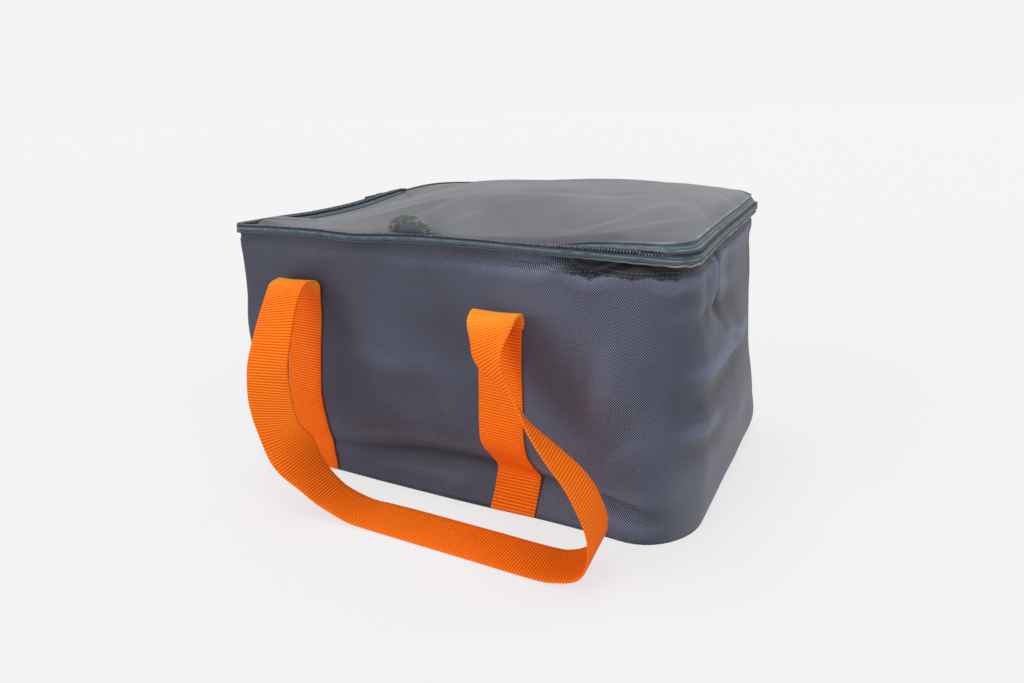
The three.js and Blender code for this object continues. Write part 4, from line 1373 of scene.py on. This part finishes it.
# %% [markdown]
# ## The lid
# The lid is one padded panel. Its cloth is tight at the piping and rises over the foam in a soft dome.
# The dome is low at the left, where the bag is empty, and drops steeply at the right end.
# Rings of points run from the rolled rim to a straight ridge line, so the cloth meets the piping exactly.
# Long low creases cross it toward the right, as the panel has been folded.

# %% Lid surface
ALONG_SHARES = (-0.5, -0.44, -0.36, -0.25, -0.1, 0.1, 0.28, 0.4, 0.44, 0.47, 0.49, 0.5)
RISE_SHARES = (0, 0, 0.07, 0.38, 0.84, 1, 0.99, 0.88, 0.74, 0.48, 0.18, 0)
ACROSS_POWER = 2.6
LID_DOME = 15.5
LID_EDGE = 224.2
LID_LEVEL_PLACES = (-197, -170, -150, -120, -90, -50, 0, 197)
LID_LEVELS = (206, 208, 210.5, 215.5, 220, 223.5, 224.2, 224.2)
LID_RINGS = 44
LID_EDGE_SHARE = 0.35
LID_TENSION = 0.06
LID_STRETCH = 1.5
LID_NOISE = [(60.0, 1.0, 4.4), (20.0, 0.3, 9.2)]
LID_CROWN = (4, 8, 3.4)
LID_GAP = 0.4
LID_FOAM = 5.2
LID_FOAM_INSET = 3.4
LID_FOIL = 0.6
LID_FOIL_INSET = 3.2
LID_CORE_DETAIL = 0.6
CORNER_RISE = (6.5, 24, [(-222, -140), (-196, -112), (-176, -86), (-150, -66)])
LID_FOLDS = [
    (1.6, 5, [(36, -117), (72, -113), (112, -108)]),
    (2.0, 5, [(126, -112), (146, -103), (167, -91), (182, -77)]),
    (2.0, 6, [(112, -96), (130, -92), (146, -78), (172, -40)]),
    (1.5, 5, [(20, -112), (44, -107), (72, -99)]),
    (1.9, 5, [(-84, -78), (-55, -67), (-35, -60), (-10, -50)]),
    (1.9, 6, [(-56, -100), (-28, -84), (-13, -65), (0, -42)]),
    (1.7, 5, [(-8, -102), (9, -82), (26, -72)]),
    (-2.2, 8, [(76, -82), (108, -92), (126, -88), (148, -72)]),
    (-2.0, 9, [(170, -30), (184, -52), (190, -88)]),
    (1.8, 6, [(174, -36), (181, -54), (184, -84)]),
    (1.8, 7, [(-120, 20), (-80, 34), (-30, 40)]),
    (-1.8, 9, [(-150, -40), (-110, -10), (-60, 6)]),
    (1.7, 8, [(20, 40), (80, 52), (140, 44)]),
    (-1.6, 10, [(-20, 84), (60, 92), (120, 86)]),
    (1.9, 7, [(-160, 60), (-130, 84), (-100, 96)]),
    (-1.5, 8, [(40, -30), (100, -34), (150, -20)]),
]
lid_edge = rim_rows([LID_EDGE], 0.0)[0]
mirror = (2 * LONG_RUN + END_RUN + CORNER_STEPS - np.arange(RING)) % RING
ridge_reach = HALF_WIDTH - HALF_DEPTH
ridge_x = np.clip((lid_edge[:, 0] + lid_edge[mirror, 0]) / 2, -ridge_reach, ridge_reach)


def lid_dome(x, y):
    """Share of the dome's full height over a place of the lid."""
    along = smooth_table(ALONG_SHARES, RISE_SHARES, x / (2 * HALF_WIDTH))
    return along * (1 - np.clip(np.abs(y) / HALF_DEPTH, 0, 1) ** ACROSS_POWER)


def lid_rows(drop, inset, detail=1.0):
    """Rings over the lid, drop below its cloth and inset from its edge, and the relief they carry.
    Near the edge the cloth is tight: it starts at the piping and takes no relief there."""
    start = 1 - inset / HALF_DEPTH
    shares = start * np.sin(np.linspace(1, 0, LID_RINGS) * math.pi / 2)
    ridge = np.column_stack([ridge_x, np.zeros(RING), np.zeros(RING)])
    rows = np.array([ridge + (lid_edge - ridge) * share for share in shares])
    x, y = rows[..., 0], rows[..., 1]
    edge_weight = smooth_step((shares - LID_EDGE_SHARE) / (1 - LID_EDGE_SHARE))[:, None]
    level = smooth_table(LID_LEVEL_PLACES, LID_LEVELS, x)
    base = level + (lid_edge[None, :, 2] - level) * edge_weight
    slack = smooth_step((1 - shares) / LID_TENSION)[:, None]
    swell = LID_DOME * (lid_dome(x, y) - lid_dome(lid_edge[:, 0], lid_edge[:, 1]) * (1 - slack))
    swell = swell + detail * fold_rise(x, y, *CORNER_RISE) * slack
    relief = sum(fold_rise(x, y, *fold) for fold in LID_FOLDS)
    flat = np.stack([x, y * LID_STRETCH, np.zeros(x.shape)], axis=-1)
    relief += sum(height * soft_noise(flat, size, seed) for size, height, seed in LID_NOISE)
    rows[..., 2] = base + swell - drop + detail * relief * slack
    return rows, relief * slack


def lid_layer(name, drop, thick, inset, detail=1.0):
    """A closed sheet of the lid."""
    top, relief = lid_rows(drop, inset, detail)
    bottom, _ = lid_rows(drop + thick, inset, detail)
    points = np.concatenate([bottom[::-1], top])
    mesh = grid_mesh(name, points, RIM_LENGTH, np.arange(len(points)), wrap_columns=True)
    map_flat(mesh)
    crown = crown_of(relief, *LID_CROWN)
    # The crown gives the lid's cloth a painted highlight where folds stand out and a painted shade in the
    # hollows.
    store(mesh, "crown", np.concatenate([crown[::-1], crown]))
    close_ends(mesh, merge=0.02)
    return object_from(name, mesh)


lid_cover = lid_layer("lid_cloth_cover", 0.0, FABRIC, 0.0)
dress(lid_cover, "lid", "lid_cloth", lid_cloth, "lid_cover")
lid_foam = lid_layer("lid_foam_pad", FABRIC + LID_GAP, LID_FOAM, LID_FOAM_INSET, LID_CORE_DETAIL)
dress(lid_foam, "lid", "foam", foam, "lid_foam")
lid_foil = lid_layer("lid_foil", FABRIC + LID_GAP + LID_FOAM + LID_GAP, LID_FOIL, LID_FOIL_INSET,
                     LID_CORE_DETAIL)
dress(lid_foil, "lid", "lining", foil, "lid_lining")
lid_top = max(v.co.z for v in lid_cover.data.vertices) / MM
print(f"lid cover {len(lid_cover.data.polygons)} faces, top at {lid_top:.1f} mm")

# %% [markdown]
# ## Hinge band
# The lid has no zip along the back. A strip of the body's cloth, sewn inside both tapes, is the hinge.
# It crosses from the bag to the lid, so it is given to neither of their bodies.

# %% Hinge band
HINGE_NEAR = -1.1
HINGE_FAR = -1.9
band_columns = around(CORNER_STEPS + 1, LONG_STEPS - 1)
band_heights = heights_of("hinge_band", 12)
hinge_band = layer("hinge_strip", band_heights, HINGE_NEAR, HINGE_FAR, band_columns,
                   rows=rim_rows, detail=0.0)
dress(hinge_band, None, "body_cloth", body_cloth, "hinge_band")
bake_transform(hinge_band)

# %% [markdown]
# ## Webbing
# The carry straps are one kind of webbing: 38 mm wide, woven with ribs straight across.
# Each strap is a ribbon with a rounded section of 22 points, and a second tree raises its ribs.
# Straps are modelled directly. A cloth solver would lose their ribs and edges.

# %% Ribs on webbing
WEB_WIDTH = 38.0
WEB_THICK = 1.5
ROWS_PER_RIB = 6
RIB_HEIGHT = 0.24


def rib_tree():
    """Raise ribs along the stored distance, outward from the surface."""
    tree, given = begin_tree("webbing_ribs", {"Pitch": RIB_PITCH, "Height": RIB_HEIGHT})

    def maths(operation, *values):
        return geometry_node(tree, "ShaderNodeMath", {"operation": operation}, dict(enumerate(values)))

    along = geometry_node(tree, "GeometryNodeInputNamedAttribute", {"data_type": "FLOAT"}, {"Name": "along"})
    phase = maths("MULTIPLY", maths("DIVIDE", along, given["Pitch"]), math.pi)
    crown = maths("POWER", maths("ABSOLUTE", maths("SINE", phase)), 0.6)
    rise = maths("MULTIPLY", crown, given["Height"])
    normal = geometry_node(tree, "GeometryNodeInputNormal")
    move = geometry_node(tree, "ShaderNodeVectorMath", {"operation": "SCALE"},
                         {"Vector": normal, "Scale": rise})
    ribbed = geometry_node(tree, "GeometryNodeSetPosition", None,
                           {"Geometry": given["Geometry"], "Offset": move})
    return end_tree(tree, ribbed, given["Finish"])


ribs = rib_tree()


def web_section():
    """Points of the strap's section, across and through, counter-clockwise, with full rounded edges."""
    half, low = WEB_WIDTH / 2 - WEB_THICK / 2, WEB_THICK / 2
    face = np.linspace(-half, half, 9)
    bend = np.linspace(-math.pi / 2, math.pi / 2, 4)[1:-1]
    bottom = [(s, -low) for s in face]
    right = [(half + low * math.cos(a), low * math.sin(a)) for a in bend]
    top = [(s, low) for s in face[::-1]]
    left = [(-half - low * math.cos(a), -low * math.sin(a)) for a in bend]
    return np.array(bottom + right + top + left)


def ribbon_mesh(name, points, along, around_it):
    """Closed ribbon over points[row, section], with its map's u along it and v round its section."""
    u = np.repeat(np.append(along, along[-1])[:, None], len(around_it), axis=1)
    v = np.repeat(around_it[None, :], len(along) + 1, axis=0)
    return grid_mesh(name, points, u, v, wrap_columns=True)


def web_mesh(name, points, along, fold_highlight=0.0):
    """Closed ribbon over points[row, section] with its distance along stored for the ribs, and how far each
    row takes the painted highlight of the handle's upturned folds."""
    section = web_section()
    mesh = ribbon_mesh(name, points, along, np.append(section[:, 0], section[0, 0]) + WEB_WIDTH)
    rows, columns = points.shape[:2]
    store(mesh, "along", np.repeat(along, columns) * MM)
    store(mesh, "fold_highlight", np.repeat(np.broadcast_to(fold_highlight, rows), columns))
    close_ends(mesh)
    return grow(object_from(name, mesh), ribs, Pitch=RIB_PITCH * MM, Height=RIB_HEIGHT * MM, Finish=webbing)


# %% [markdown]
# ## Straps sewn to the faces
# The strap lies on the cloth and follows its bellies, but it is stiffer and bridges the small folds.
# So its height is the wall's height, averaged over a stretch, and never less than the wall itself.

# %% Wall heights under a strap
SEWN_TOP = 158.0
STRAP_CLEAR = 0.25
SEWN_CENTRES = {
    "front_webbing_left": (-132.5, -132),
    "front_webbing_right": (62, 62),
    "rear_webbing_left": (-128, -128),
    "rear_webbing_right": (62, 62),
}
FACE_COLUMNS = LONG_RUN + CORNER_STEPS + 1
FACE_RUNS = {"front": around(LONG_RUN + END_RUN, FACE_COLUMNS), "back": around(0, FACE_COLUMNS)}


def face_depth(side, x_of_row):
    """How far the wall stands out, at columns of x given for each row of the wall grid."""
    columns = FACE_RUNS[side]
    sign = -1 if side == "front" else 1
    depth = []
    for row, xs in zip(wall_grid, x_of_row):
        x, y = row[columns, 0], row[columns, 1]
        order = np.argsort(x)
        depth.append(np.interp(xs, x[order], sign * y[order]))
    return np.array(depth)


def strap_surface(side, x_top, x_foot, z_top):
    """Outward depth of a strap's underside over the wall rows and its section."""
    lean = x_foot + (x_top - x_foot) * np.clip(wall_heights / z_top, 0, 1)
    across = np.linspace(-WEB_WIDTH / 2, WEB_WIDTH / 2, 13)
    depth = face_depth(side, lean[:, None] + across[None, :])
    eased = smoothed(depth, 1)
    eased = 0.5 * eased + 0.5 * eased.mean(axis=1, keepdims=True)
    return lean, across, np.maximum(eased, depth) + STRAP_CLEAR


def sewn_strap(name, side, node):
    """A strap up one face, from the foot of the bag to the fold of its handle."""
    low, high = box_mm(node)
    x_foot, x_top = SEWN_CENTRES[node]
    lean, across, depth = strap_surface(side, x_top, x_foot, high[2])
    count = int((SEWN_TOP - low[2]) / RIB_PITCH * ROWS_PER_RIB) + 1
    heights = np.linspace(low[2], SEWN_TOP, count)
    centre = np.interp(heights, wall_heights, lean)
    section = web_section()
    table = np.array([np.interp(heights, wall_heights, depth[:, k]) for k in range(len(across))]).T
    sign = -1 if side == "front" else 1
    points = np.empty((count, len(section), 3))
    for k, (s, t) in enumerate(section):
        out = np.array([np.interp(s, across, row) for row in table])
        points[:, k, 0] = centre + s
        points[:, k, 1] = sign * (out + t + WEB_THICK / 2)
        points[:, k, 2] = heights
    dress(web_mesh(name, points, heights), "shell", "webbing", webbing, node)
    return {"centre": centre, "heights": heights, "table": table, "across": across, "sign": sign,
            "top": points[-1].mean(axis=0)}


straps = {}
for side, face in (("front", "front"), ("rear", "back")):
    for hand in ("left", "right"):
        node = f"{side}_webbing_{hand}"
        straps[side, hand] = sewn_strap(node.replace("webbing", "sewn_strap"), face, node)
        print(node, "ends at", np.round(straps[side, hand]["top"], 1))

# %% [markdown]
# ## The free handle
# The front handle has fallen forward. It folds over at each strap, stands away from the wall, twists and lies
# on the floor in front of the bag. Its route is a list of middles with the turn and the tilt of its width:
# each row is x, y, z, then the turn about the vertical and the rise out of level, in degrees.
# The rear handle takes the same route, mirrored to the back of the bag.

# %% Handle route
FRONT_ROUTE = [
    (-127, -136, 175.5, -2, 3), (-125.5, -143, 172.5, -3, 4), (-123.5, -151, 166, -4, 4),
    (-121.5, -159, 157, -2, 3), (-119.5, -167, 146, 1, 2), (-118, -175, 133, 4, 1), (-117, -181, 121, 7, 1),
    (-116, -184, 107, 12, 1), (-116, -184.5, 92, 16, 2), (-116, -183, 77, 18, 2), (-115, -180, 64.5, 25, 3),
    (-112, -177, 52.5, 42, 4), (-106, -175, 39.5, 67, 1), (-97.5, -173.6, 28, 84, -3),
    (-86.5, -173, 18.5, 92, -5), (-76, -172, 11, 94, -6), (-62, -171.5, 6, 95, -5),
    (-47, -171, 2.6, 94, -3), (-32, -169.5, 1.4, 93, -1), (0, -169, 1.2, 90, 0), (60, -169, 1.2, 90, 0),
    (112, -169.5, 1.6, 92, 0), (129, -169.5, 4.5, 93, 1), (142, -169, 11, 96, 4),
    (150.5, -169.4, 23, 93, 2), (152.4, -169.6, 38, 92, 1), (149, -170, 52, 94, 0),
    (142.6, -170, 65, 95, -2), (133.7, -170.3, 77, 99, -6), (123, -170.8, 87.5, 103, -10),
    (112.6, -171.3, 98, 108, -15), (102.6, -171.3, 109, 114, -20), (94.5, -170, 121, 119, -23),
    (85.5, -169.5, 132.5, 125, -26), (77, -168.5, 144, 140, -29), (72.5, -164, 154, 159, -27),
    (70, -155, 163.5, 172, -18), (67, -146, 169.6, 178, -4),
]
# Points of the folds: across, outward and up from the top of the sewn strap. The left one's fourth is a tilt.
LEFT_FOLD = ((0, 0, 0, 0), (1, 0.5, 7, 0), (2, 2.5, 13, 1), (3.5, 8, 17, 2))
RIGHT_FOLD = ((2.5, 6.5, 12.6), (1.7, 1.7, 8.5), (0.9, 0.4, 4.4), (0, 0, 0))
SPAN_STEPS = 40
CREST_AT = 22
CREST_WIDTH = 14
FLOOR_CLEAR = 0.35
# How far out and how high the strap leaves the wall, and where it is wholly the handle's
BLEND_START = (0, 164)
BLEND_END = (26, 150)


def spline(points, steps):
    """Smooth curve through rows of numbers, cut into steps from each row to the next."""
    points = np.asarray(points, float)
    padded = np.concatenate([2 * points[:1] - points[1:2], points, 2 * points[-1:] - points[-2:-1]])
    share = np.linspace(0, 1, steps, endpoint=False)[:, None]
    rows = []
    for a, b, c, d in zip(padded, padded[1:], padded[2:], padded[3:]):
        near, far = 0.5 * (c - a), 0.5 * (d - b)
        rows.append((2 * share ** 3 - 3 * share ** 2 + 1) * b + (share ** 3 - 2 * share ** 2 + share) * near
                    + (3 * share ** 2 - 2 * share ** 3) * c + (share ** 3 - share ** 2) * far)
    return np.concatenate(rows + [points[-1:]])


def even_rows(rows, step):
    """Rows taken again at an even distance along the path of their first three numbers."""
    gaps = np.linalg.norm(np.diff(rows[:, :3], axis=0), axis=1)
    length = np.concatenate([[0], np.cumsum(gaps)])
    count = int(length[-1] / step) + 1
    at = np.linspace(0, length[-1], count)
    return np.column_stack([np.interp(at, length, column) for column in rows.T]), at


def handle(side):
    """A side's free handle from one sewn strap over its fold, along the route, and back to the other."""
    name, node = f"{side}_carry_strap", f"{side}_handle"
    route = FRONT_ROUTE
    tops = [straps[side, hand]["top"] for hand in ("left", "right")]
    outward = -1 if side == "front" else 1
    (left_x, left_y, left_z), (right_x, right_y, right_z) = tops
    left = [(left_x + across, left_y + outward * d, left_z + z, 0, tilt) for across, d, z, tilt in LEFT_FOLD]
    right = [(right_x + across, right_y + outward * d, right_z + z, 180, 0) for across, d, z in RIGHT_FOLD]
    if side == "rear":
        shift = left_y + straps["front", "left"]["top"][1]
        route = [(x, shift - y, z, -turn, tilt) for x, y, z, turn, tilt in route]
        right = [(x, y, z, -turn, tilt) for x, y, z, turn, tilt in right]
    rows, along = even_rows(spline(left + route + right, SPAN_STEPS), RIB_PITCH / ROWS_PER_RIB)
    centre = rows[:, :3]
    turn, tilt = np.radians(rows[:, 3]), np.radians(rows[:, 4])
    width = np.column_stack([np.cos(tilt) * np.cos(turn), np.cos(tilt) * np.sin(turn), np.sin(tilt)])
    tangent = np.gradient(centre, axis=0)
    tangent /= np.linalg.norm(tangent, axis=1, keepdims=True)
    width -= tangent * np.sum(width * tangent, axis=1, keepdims=True)
    width /= np.linalg.norm(width, axis=1, keepdims=True)
    through = np.cross(tangent, width)
    section = web_section()
    points = centre[:, None] + width[:, None] * section[None, :, :1] + through[:, None] * section[None, :, 1:]
    points[..., 2] = np.maximum(points[..., 2], FLOOR_CLEAR)
    # Painted highlight near each end of the handle, where it folds over and faces up.
    fold_highlight = sum(np.exp(-((at - CREST_AT) / CREST_WIDTH) ** 2) for at in (along, along[-1] - along))
    strap = web_mesh(name, points, along + SEWN_TOP, fold_highlight)
    dress(strap, None, "webbing", webbing, node)
    start, end = ((0.0, (left_y + outward * d) * MM, z * MM) for d, z in (BLEND_START, BLEND_END))
    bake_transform(strap)
    print(f"{name}: {along[-1]:.0f} mm long, {len(strap.data.polygons)} faces")


for side in ("front", "rear"):
    handle(side)

# %% [markdown]
# ## The grab tab
# A small D of cloth stands at the front edge of the lid, left of the middle, to hold while the zip is pulled.
# Its core is a flat cloth plate, and its edge is bound with ribbed tape folded over both faces.

# %% Grab tab
tab_low, tab_high = box_mm("grab_tab_binding")
TAB_CENTRE = float(tab_low[0] + tab_high[0]) / 2
TAB_WIDE = float(tab_high[0] - tab_low[0])
TAB_TALL = float(tab_high[2] - tab_low[2])
TAB_BINDING = 7.5
BINDING_HALF = 1.3
BINDING_POWERS = (0.45, 0.6)
BINDING_RIB = 1.8
TAB_LEAN = -0.15
TAB_POWER = 1.9
TAB_SHIFT = -8.0
TAB_STANDS_OUT = 1.0
TAB_FOOT_Z = 216.8
TAB_CORE_HALF = 0.7
TAB_LAP = 1.2
TAB_BOW = 1.4
tab_edge = lid_edge[front_column(lid_edge, TAB_CENTRE)]
tab_foot = np.array([TAB_CENTRE + TAB_SHIFT, tab_edge[1] - TAB_STANDS_OUT, TAB_FOOT_Z])


def tab_outline(inset, steps=40):
    """Half oval of the tab from the left foot to the right foot, in its own plane."""
    angle = np.linspace(math.pi, 0, steps)
    c, s = np.cos(angle), np.sin(angle)
    across = np.sign(c) * np.abs(c) ** (2 / TAB_POWER) * (TAB_WIDE / 2 - inset)
    up = np.abs(s) ** (2 / TAB_POWER) * (TAB_TALL - inset)
    return np.column_stack([across, up])


def tab_place(across, up, through):
    """Point of the tab plane, leaned back and slightly bowed, in the bag's own frame."""
    y = tab_foot[1] + up * TAB_LEAN + through + TAB_BOW * (across / TAB_WIDE) ** 2
    return np.stack([tab_foot[0] + across, y, tab_foot[2] + up], axis=-1)


def tab_core():
    """Cloth plate inside the binding: rows from foot to edge on one face and back down the other."""
    shares = np.linspace(0, 1, 8)
    across, up = tab_outline(TAB_BINDING - TAB_LAP).T
    ripple = 0.15 * np.sin(across / 3)
    rows = [tab_place(across, up * share, ripple - TAB_CORE_HALF) for share in shares]
    rows += [tab_place(across, up * share, ripple + TAB_CORE_HALF) for share in shares[::-1]]
    mesh = grid_mesh("tab_core", rows, np.arange(len(across)), np.arange(len(rows) + 1), wrap_rows=True)
    map_flat(mesh)
    close_ends(mesh)
    return object_from("tab_core", mesh)


def tab_binding():
    """Ribbed tape round the edge: a flat rounded section swept along the half oval."""
    middle = tab_outline(TAB_BINDING / 2, 160)
    tangent = np.gradient(middle, axis=0)
    tangent /= np.linalg.norm(tangent, axis=1, keepdims=True)
    normal = np.column_stack([-tangent[:, 1], tangent[:, 0]])
    along = np.concatenate([[0], np.cumsum(np.linalg.norm(np.diff(middle, axis=0), axis=1))])
    angle = np.linspace(0, TURN, 16, endpoint=False)
    ripple = 1 + 0.2 * np.sin(TURN * along / BINDING_RIB)
    points = []
    for a in angle:
        wide = math.copysign(abs(math.cos(a)) ** BINDING_POWERS[0], math.cos(a)) * TAB_BINDING / 2
        thick = math.copysign(abs(math.sin(a)) ** BINDING_POWERS[1], math.sin(a)) * BINDING_HALF
        flat = middle + normal * wide
        points.append(tab_place(flat[:, 0], np.maximum(flat[:, 1], -1), thick * ripple))
    points = np.transpose(np.array(points), (1, 0, 2))
    mesh = ribbon_mesh("tab_binding", points, along, np.linspace(0, 14, len(angle) + 1))
    close_ends(mesh)
    return object_from("tab_binding", mesh)


def binding_finish():
    """Grosgrain binding: pale grey green ribs, with pale patches of painted highlight."""
    paint = Paint("grosgrain_binding")
    rib = paint.ribs(paint.cloth()[0], BINDING_RIB)
    wear_and_sheen = paint.cloud(paint.place(), 3.5, 3.0, 5.9)
    base = paint.mix(rib * 0.6 + wear_and_sheen * 0.4, (52, 58, 62), (142, 147, 144))
    # Painted highlight in pale patches.
    color = paint.mix(wear_and_sheen.between(0.5, 0.7) * 0.6, base, (196, 202, 192))
    return paint.finish(color, 0.6 + wear_and_sheen * 0.2, rib, 0.15)


dress(tab_core(), "lid", "lid_cloth", tab_cloth, "grab_tab_core")
dress(tab_binding(), "lid", "edge_cord", binding_finish(), "grab_tab_binding")

# %% [markdown]
# ## Seams
# Two rows of stitches hold the hem under the zip, and a row runs along each tape and each strap edge.
# All are beads on lines that lie on the finished cloth, and the webbing's are sunk a little into it.

# %% Stitch lines
STITCH = {"pitch": 3.4, "thick": 0.42, "long": 2.7, "tall": 0.5}
SMALL_STITCH = {"pitch": 2.6, "thick": 0.34, "long": 2.0, "tall": 0.4}
HEM_ROWS = (203.8, 201.4)
LOWER_SEAM_Z = 210.8
UPPER_SEAM_Z = 222.0
SEAM_OUT = 0.1
HEM_SEAM_OUT = 0.12
flat_normals = np.column_stack([rim_normals, np.zeros(RING)])


def closed_line(ring, normals):
    """A ring of points and its outward directions, with the first repeated at the end."""
    return np.concatenate([ring, ring[:1]]), np.concatenate([normals, normals[:1]])


hem_lines = [closed_line(wall_rows([z], CLOTH_OUT + HEM_SEAM_OUT)[0], flat_normals) for z in HEM_ROWS]
hem = bead_row("hem_stitches", hem_lines, finish=dark_thread, **STITCH)
dress(hem, "shell", "body_cloth", dark_thread)
lower_line = closed_line(rim_rows([LOWER_SEAM_Z], SEAM_OUT)[0], flat_normals)
lower_seam = bead_row("lower_tape_stitches", [lower_line], finish=dark_thread, **SMALL_STITCH)
dress(lower_seam, "shell", "tape", dark_thread)
rolled_out = np.column_stack([rim_normals * np.cos(ring_roll)[:, None], np.sin(ring_roll)])
upper_line = closed_line(rim_rows([UPPER_SEAM_Z], SEAM_OUT)[0], rolled_out)
upper_seam = bead_row("upper_tape_stitches", [upper_line], finish=dark_thread, **SMALL_STITCH)
dress(upper_seam, "lid", "tape", dark_thread)
print("hem stitches:", len(hem.data.polygons) // BEAD_FACES)

# %% Strap stitches
STRAP_STITCH = {"pitch": 2.9, "thick": 0.5, "long": 2.3, "tall": 0.5}
STITCH_SINK = 0.12
SEAM_ACROSS = WEB_WIDTH / 2 - 3.2
BAR_HEIGHTS = (156.6, 150.0, 12.0)


def strap_point(strap, z, across):
    """Point on a sewn strap's outer face."""
    depth = np.array([np.interp(across, strap["across"], row) for row in strap["table"]])
    out = np.interp(z, strap["heights"], depth) + WEB_THICK + RIB_HEIGHT - STITCH_SINK
    return np.column_stack([np.interp(z, strap["heights"], strap["centre"]) + across, strap["sign"] * out, z])


strap_lines = []
for strap in straps.values():
    outward = np.array([[0, strap["sign"], 0]])
    z = np.linspace(strap["heights"][0] + 4, BAR_HEIGHTS[0], 60)
    for across in (-SEAM_ACROSS, SEAM_ACROSS):
        strap_lines.append((strap_point(strap, z, across), np.repeat(outward, len(z), axis=0)))
    for height in BAR_HEIGHTS:
        across = np.linspace(-SEAM_ACROSS, SEAM_ACROSS, 20)
        bar = np.concatenate([strap_point(strap, np.array([height]), s) for s in across])
        strap_lines.append((bar, np.repeat(outward, len(bar), axis=0)))
seams = bead_row("strap_stitches", strap_lines, finish=orange_thread, **STRAP_STITCH)
dress(seams, "shell", "webbing", orange_thread)
print("strap stitches:", len(seams.data.polygons) // BEAD_FACES)

# %% [markdown]
# ## Slider, pull and zip ends
# The slider is cast zinc: its solid already has the right plates and lips, so a copy keeps the shape.
# Real castings have no sharp edges. A small bevel rounds them, and each copy replaces its solid.
# The rim sags and stands out where the slider is parked, so the copies are moved with it.

# %% Hardware
HARDWARE = {
    "zip_slider": ("slider_casting", "slider", 0.35),
    "slider_bridge": ("slider_arch", "slider", 0.25),
    "zip_pull": ("pull_plate", "pull", 0.2),
}
PATCH_NEAR = 2.4
PATCH_FAR = 0.2
RIM_SAG = -5.0
RIM_STAND = -1.3
END_COLUMNS = {"zip_end_tab_left": around(LONG_RUN + 3, 6), "zip_end_tab_right": around(4, 5)}


def rounded_copy(node, name, radius):
    """Merged copy of a solid with its edges rounded."""
    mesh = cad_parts[node].data.copy()
    work = bmesh.new()
    work.from_mesh(mesh)
    bmesh.ops.remove_doubles(work, verts=work.verts, dist=0.01 * MM)
    bmesh.ops.dissolve_limit(work, angle_limit=math.radians(2), verts=work.verts, edges=work.edges)
    sharp = [e for e in work.edges if e.is_manifold and e.calc_face_angle() > math.radians(30)]
    bmesh.ops.bevel(work, geom=sharp, offset=radius * MM, segments=2, profile=0.5, affect="EDGES",
                    clamp_overlap=True)
    bmesh.ops.recalc_face_normals(work, faces=work.faces)
    bmesh.ops.translate(work, verts=work.verts, vec=(RIM_STAND * MM, 0, RIM_SAG * MM))
    work.to_mesh(mesh)
    work.free()
    for old_map in list(mesh.uv_layers):
        mesh.uv_layers.remove(old_map)
    mesh.uv_layers.new(name=CLOTH_MAP)
    map_flat(mesh)
    mesh.name = name
    return object_from(name, mesh)


for node, (name, body, radius) in HARDWARE.items():
    dress(rounded_copy(node, name, radius), body, "slider_metal", slider_metal, node)
for node, columns in END_COLUMNS.items():
    heights = heights_of(node, 8)
    patch = layer(node.replace("tab_", "patch_"), heights, PATCH_NEAR, PATCH_FAR, columns, rows=rim_rows)
    dress(patch, "shell", "tape", tab_cloth, node)
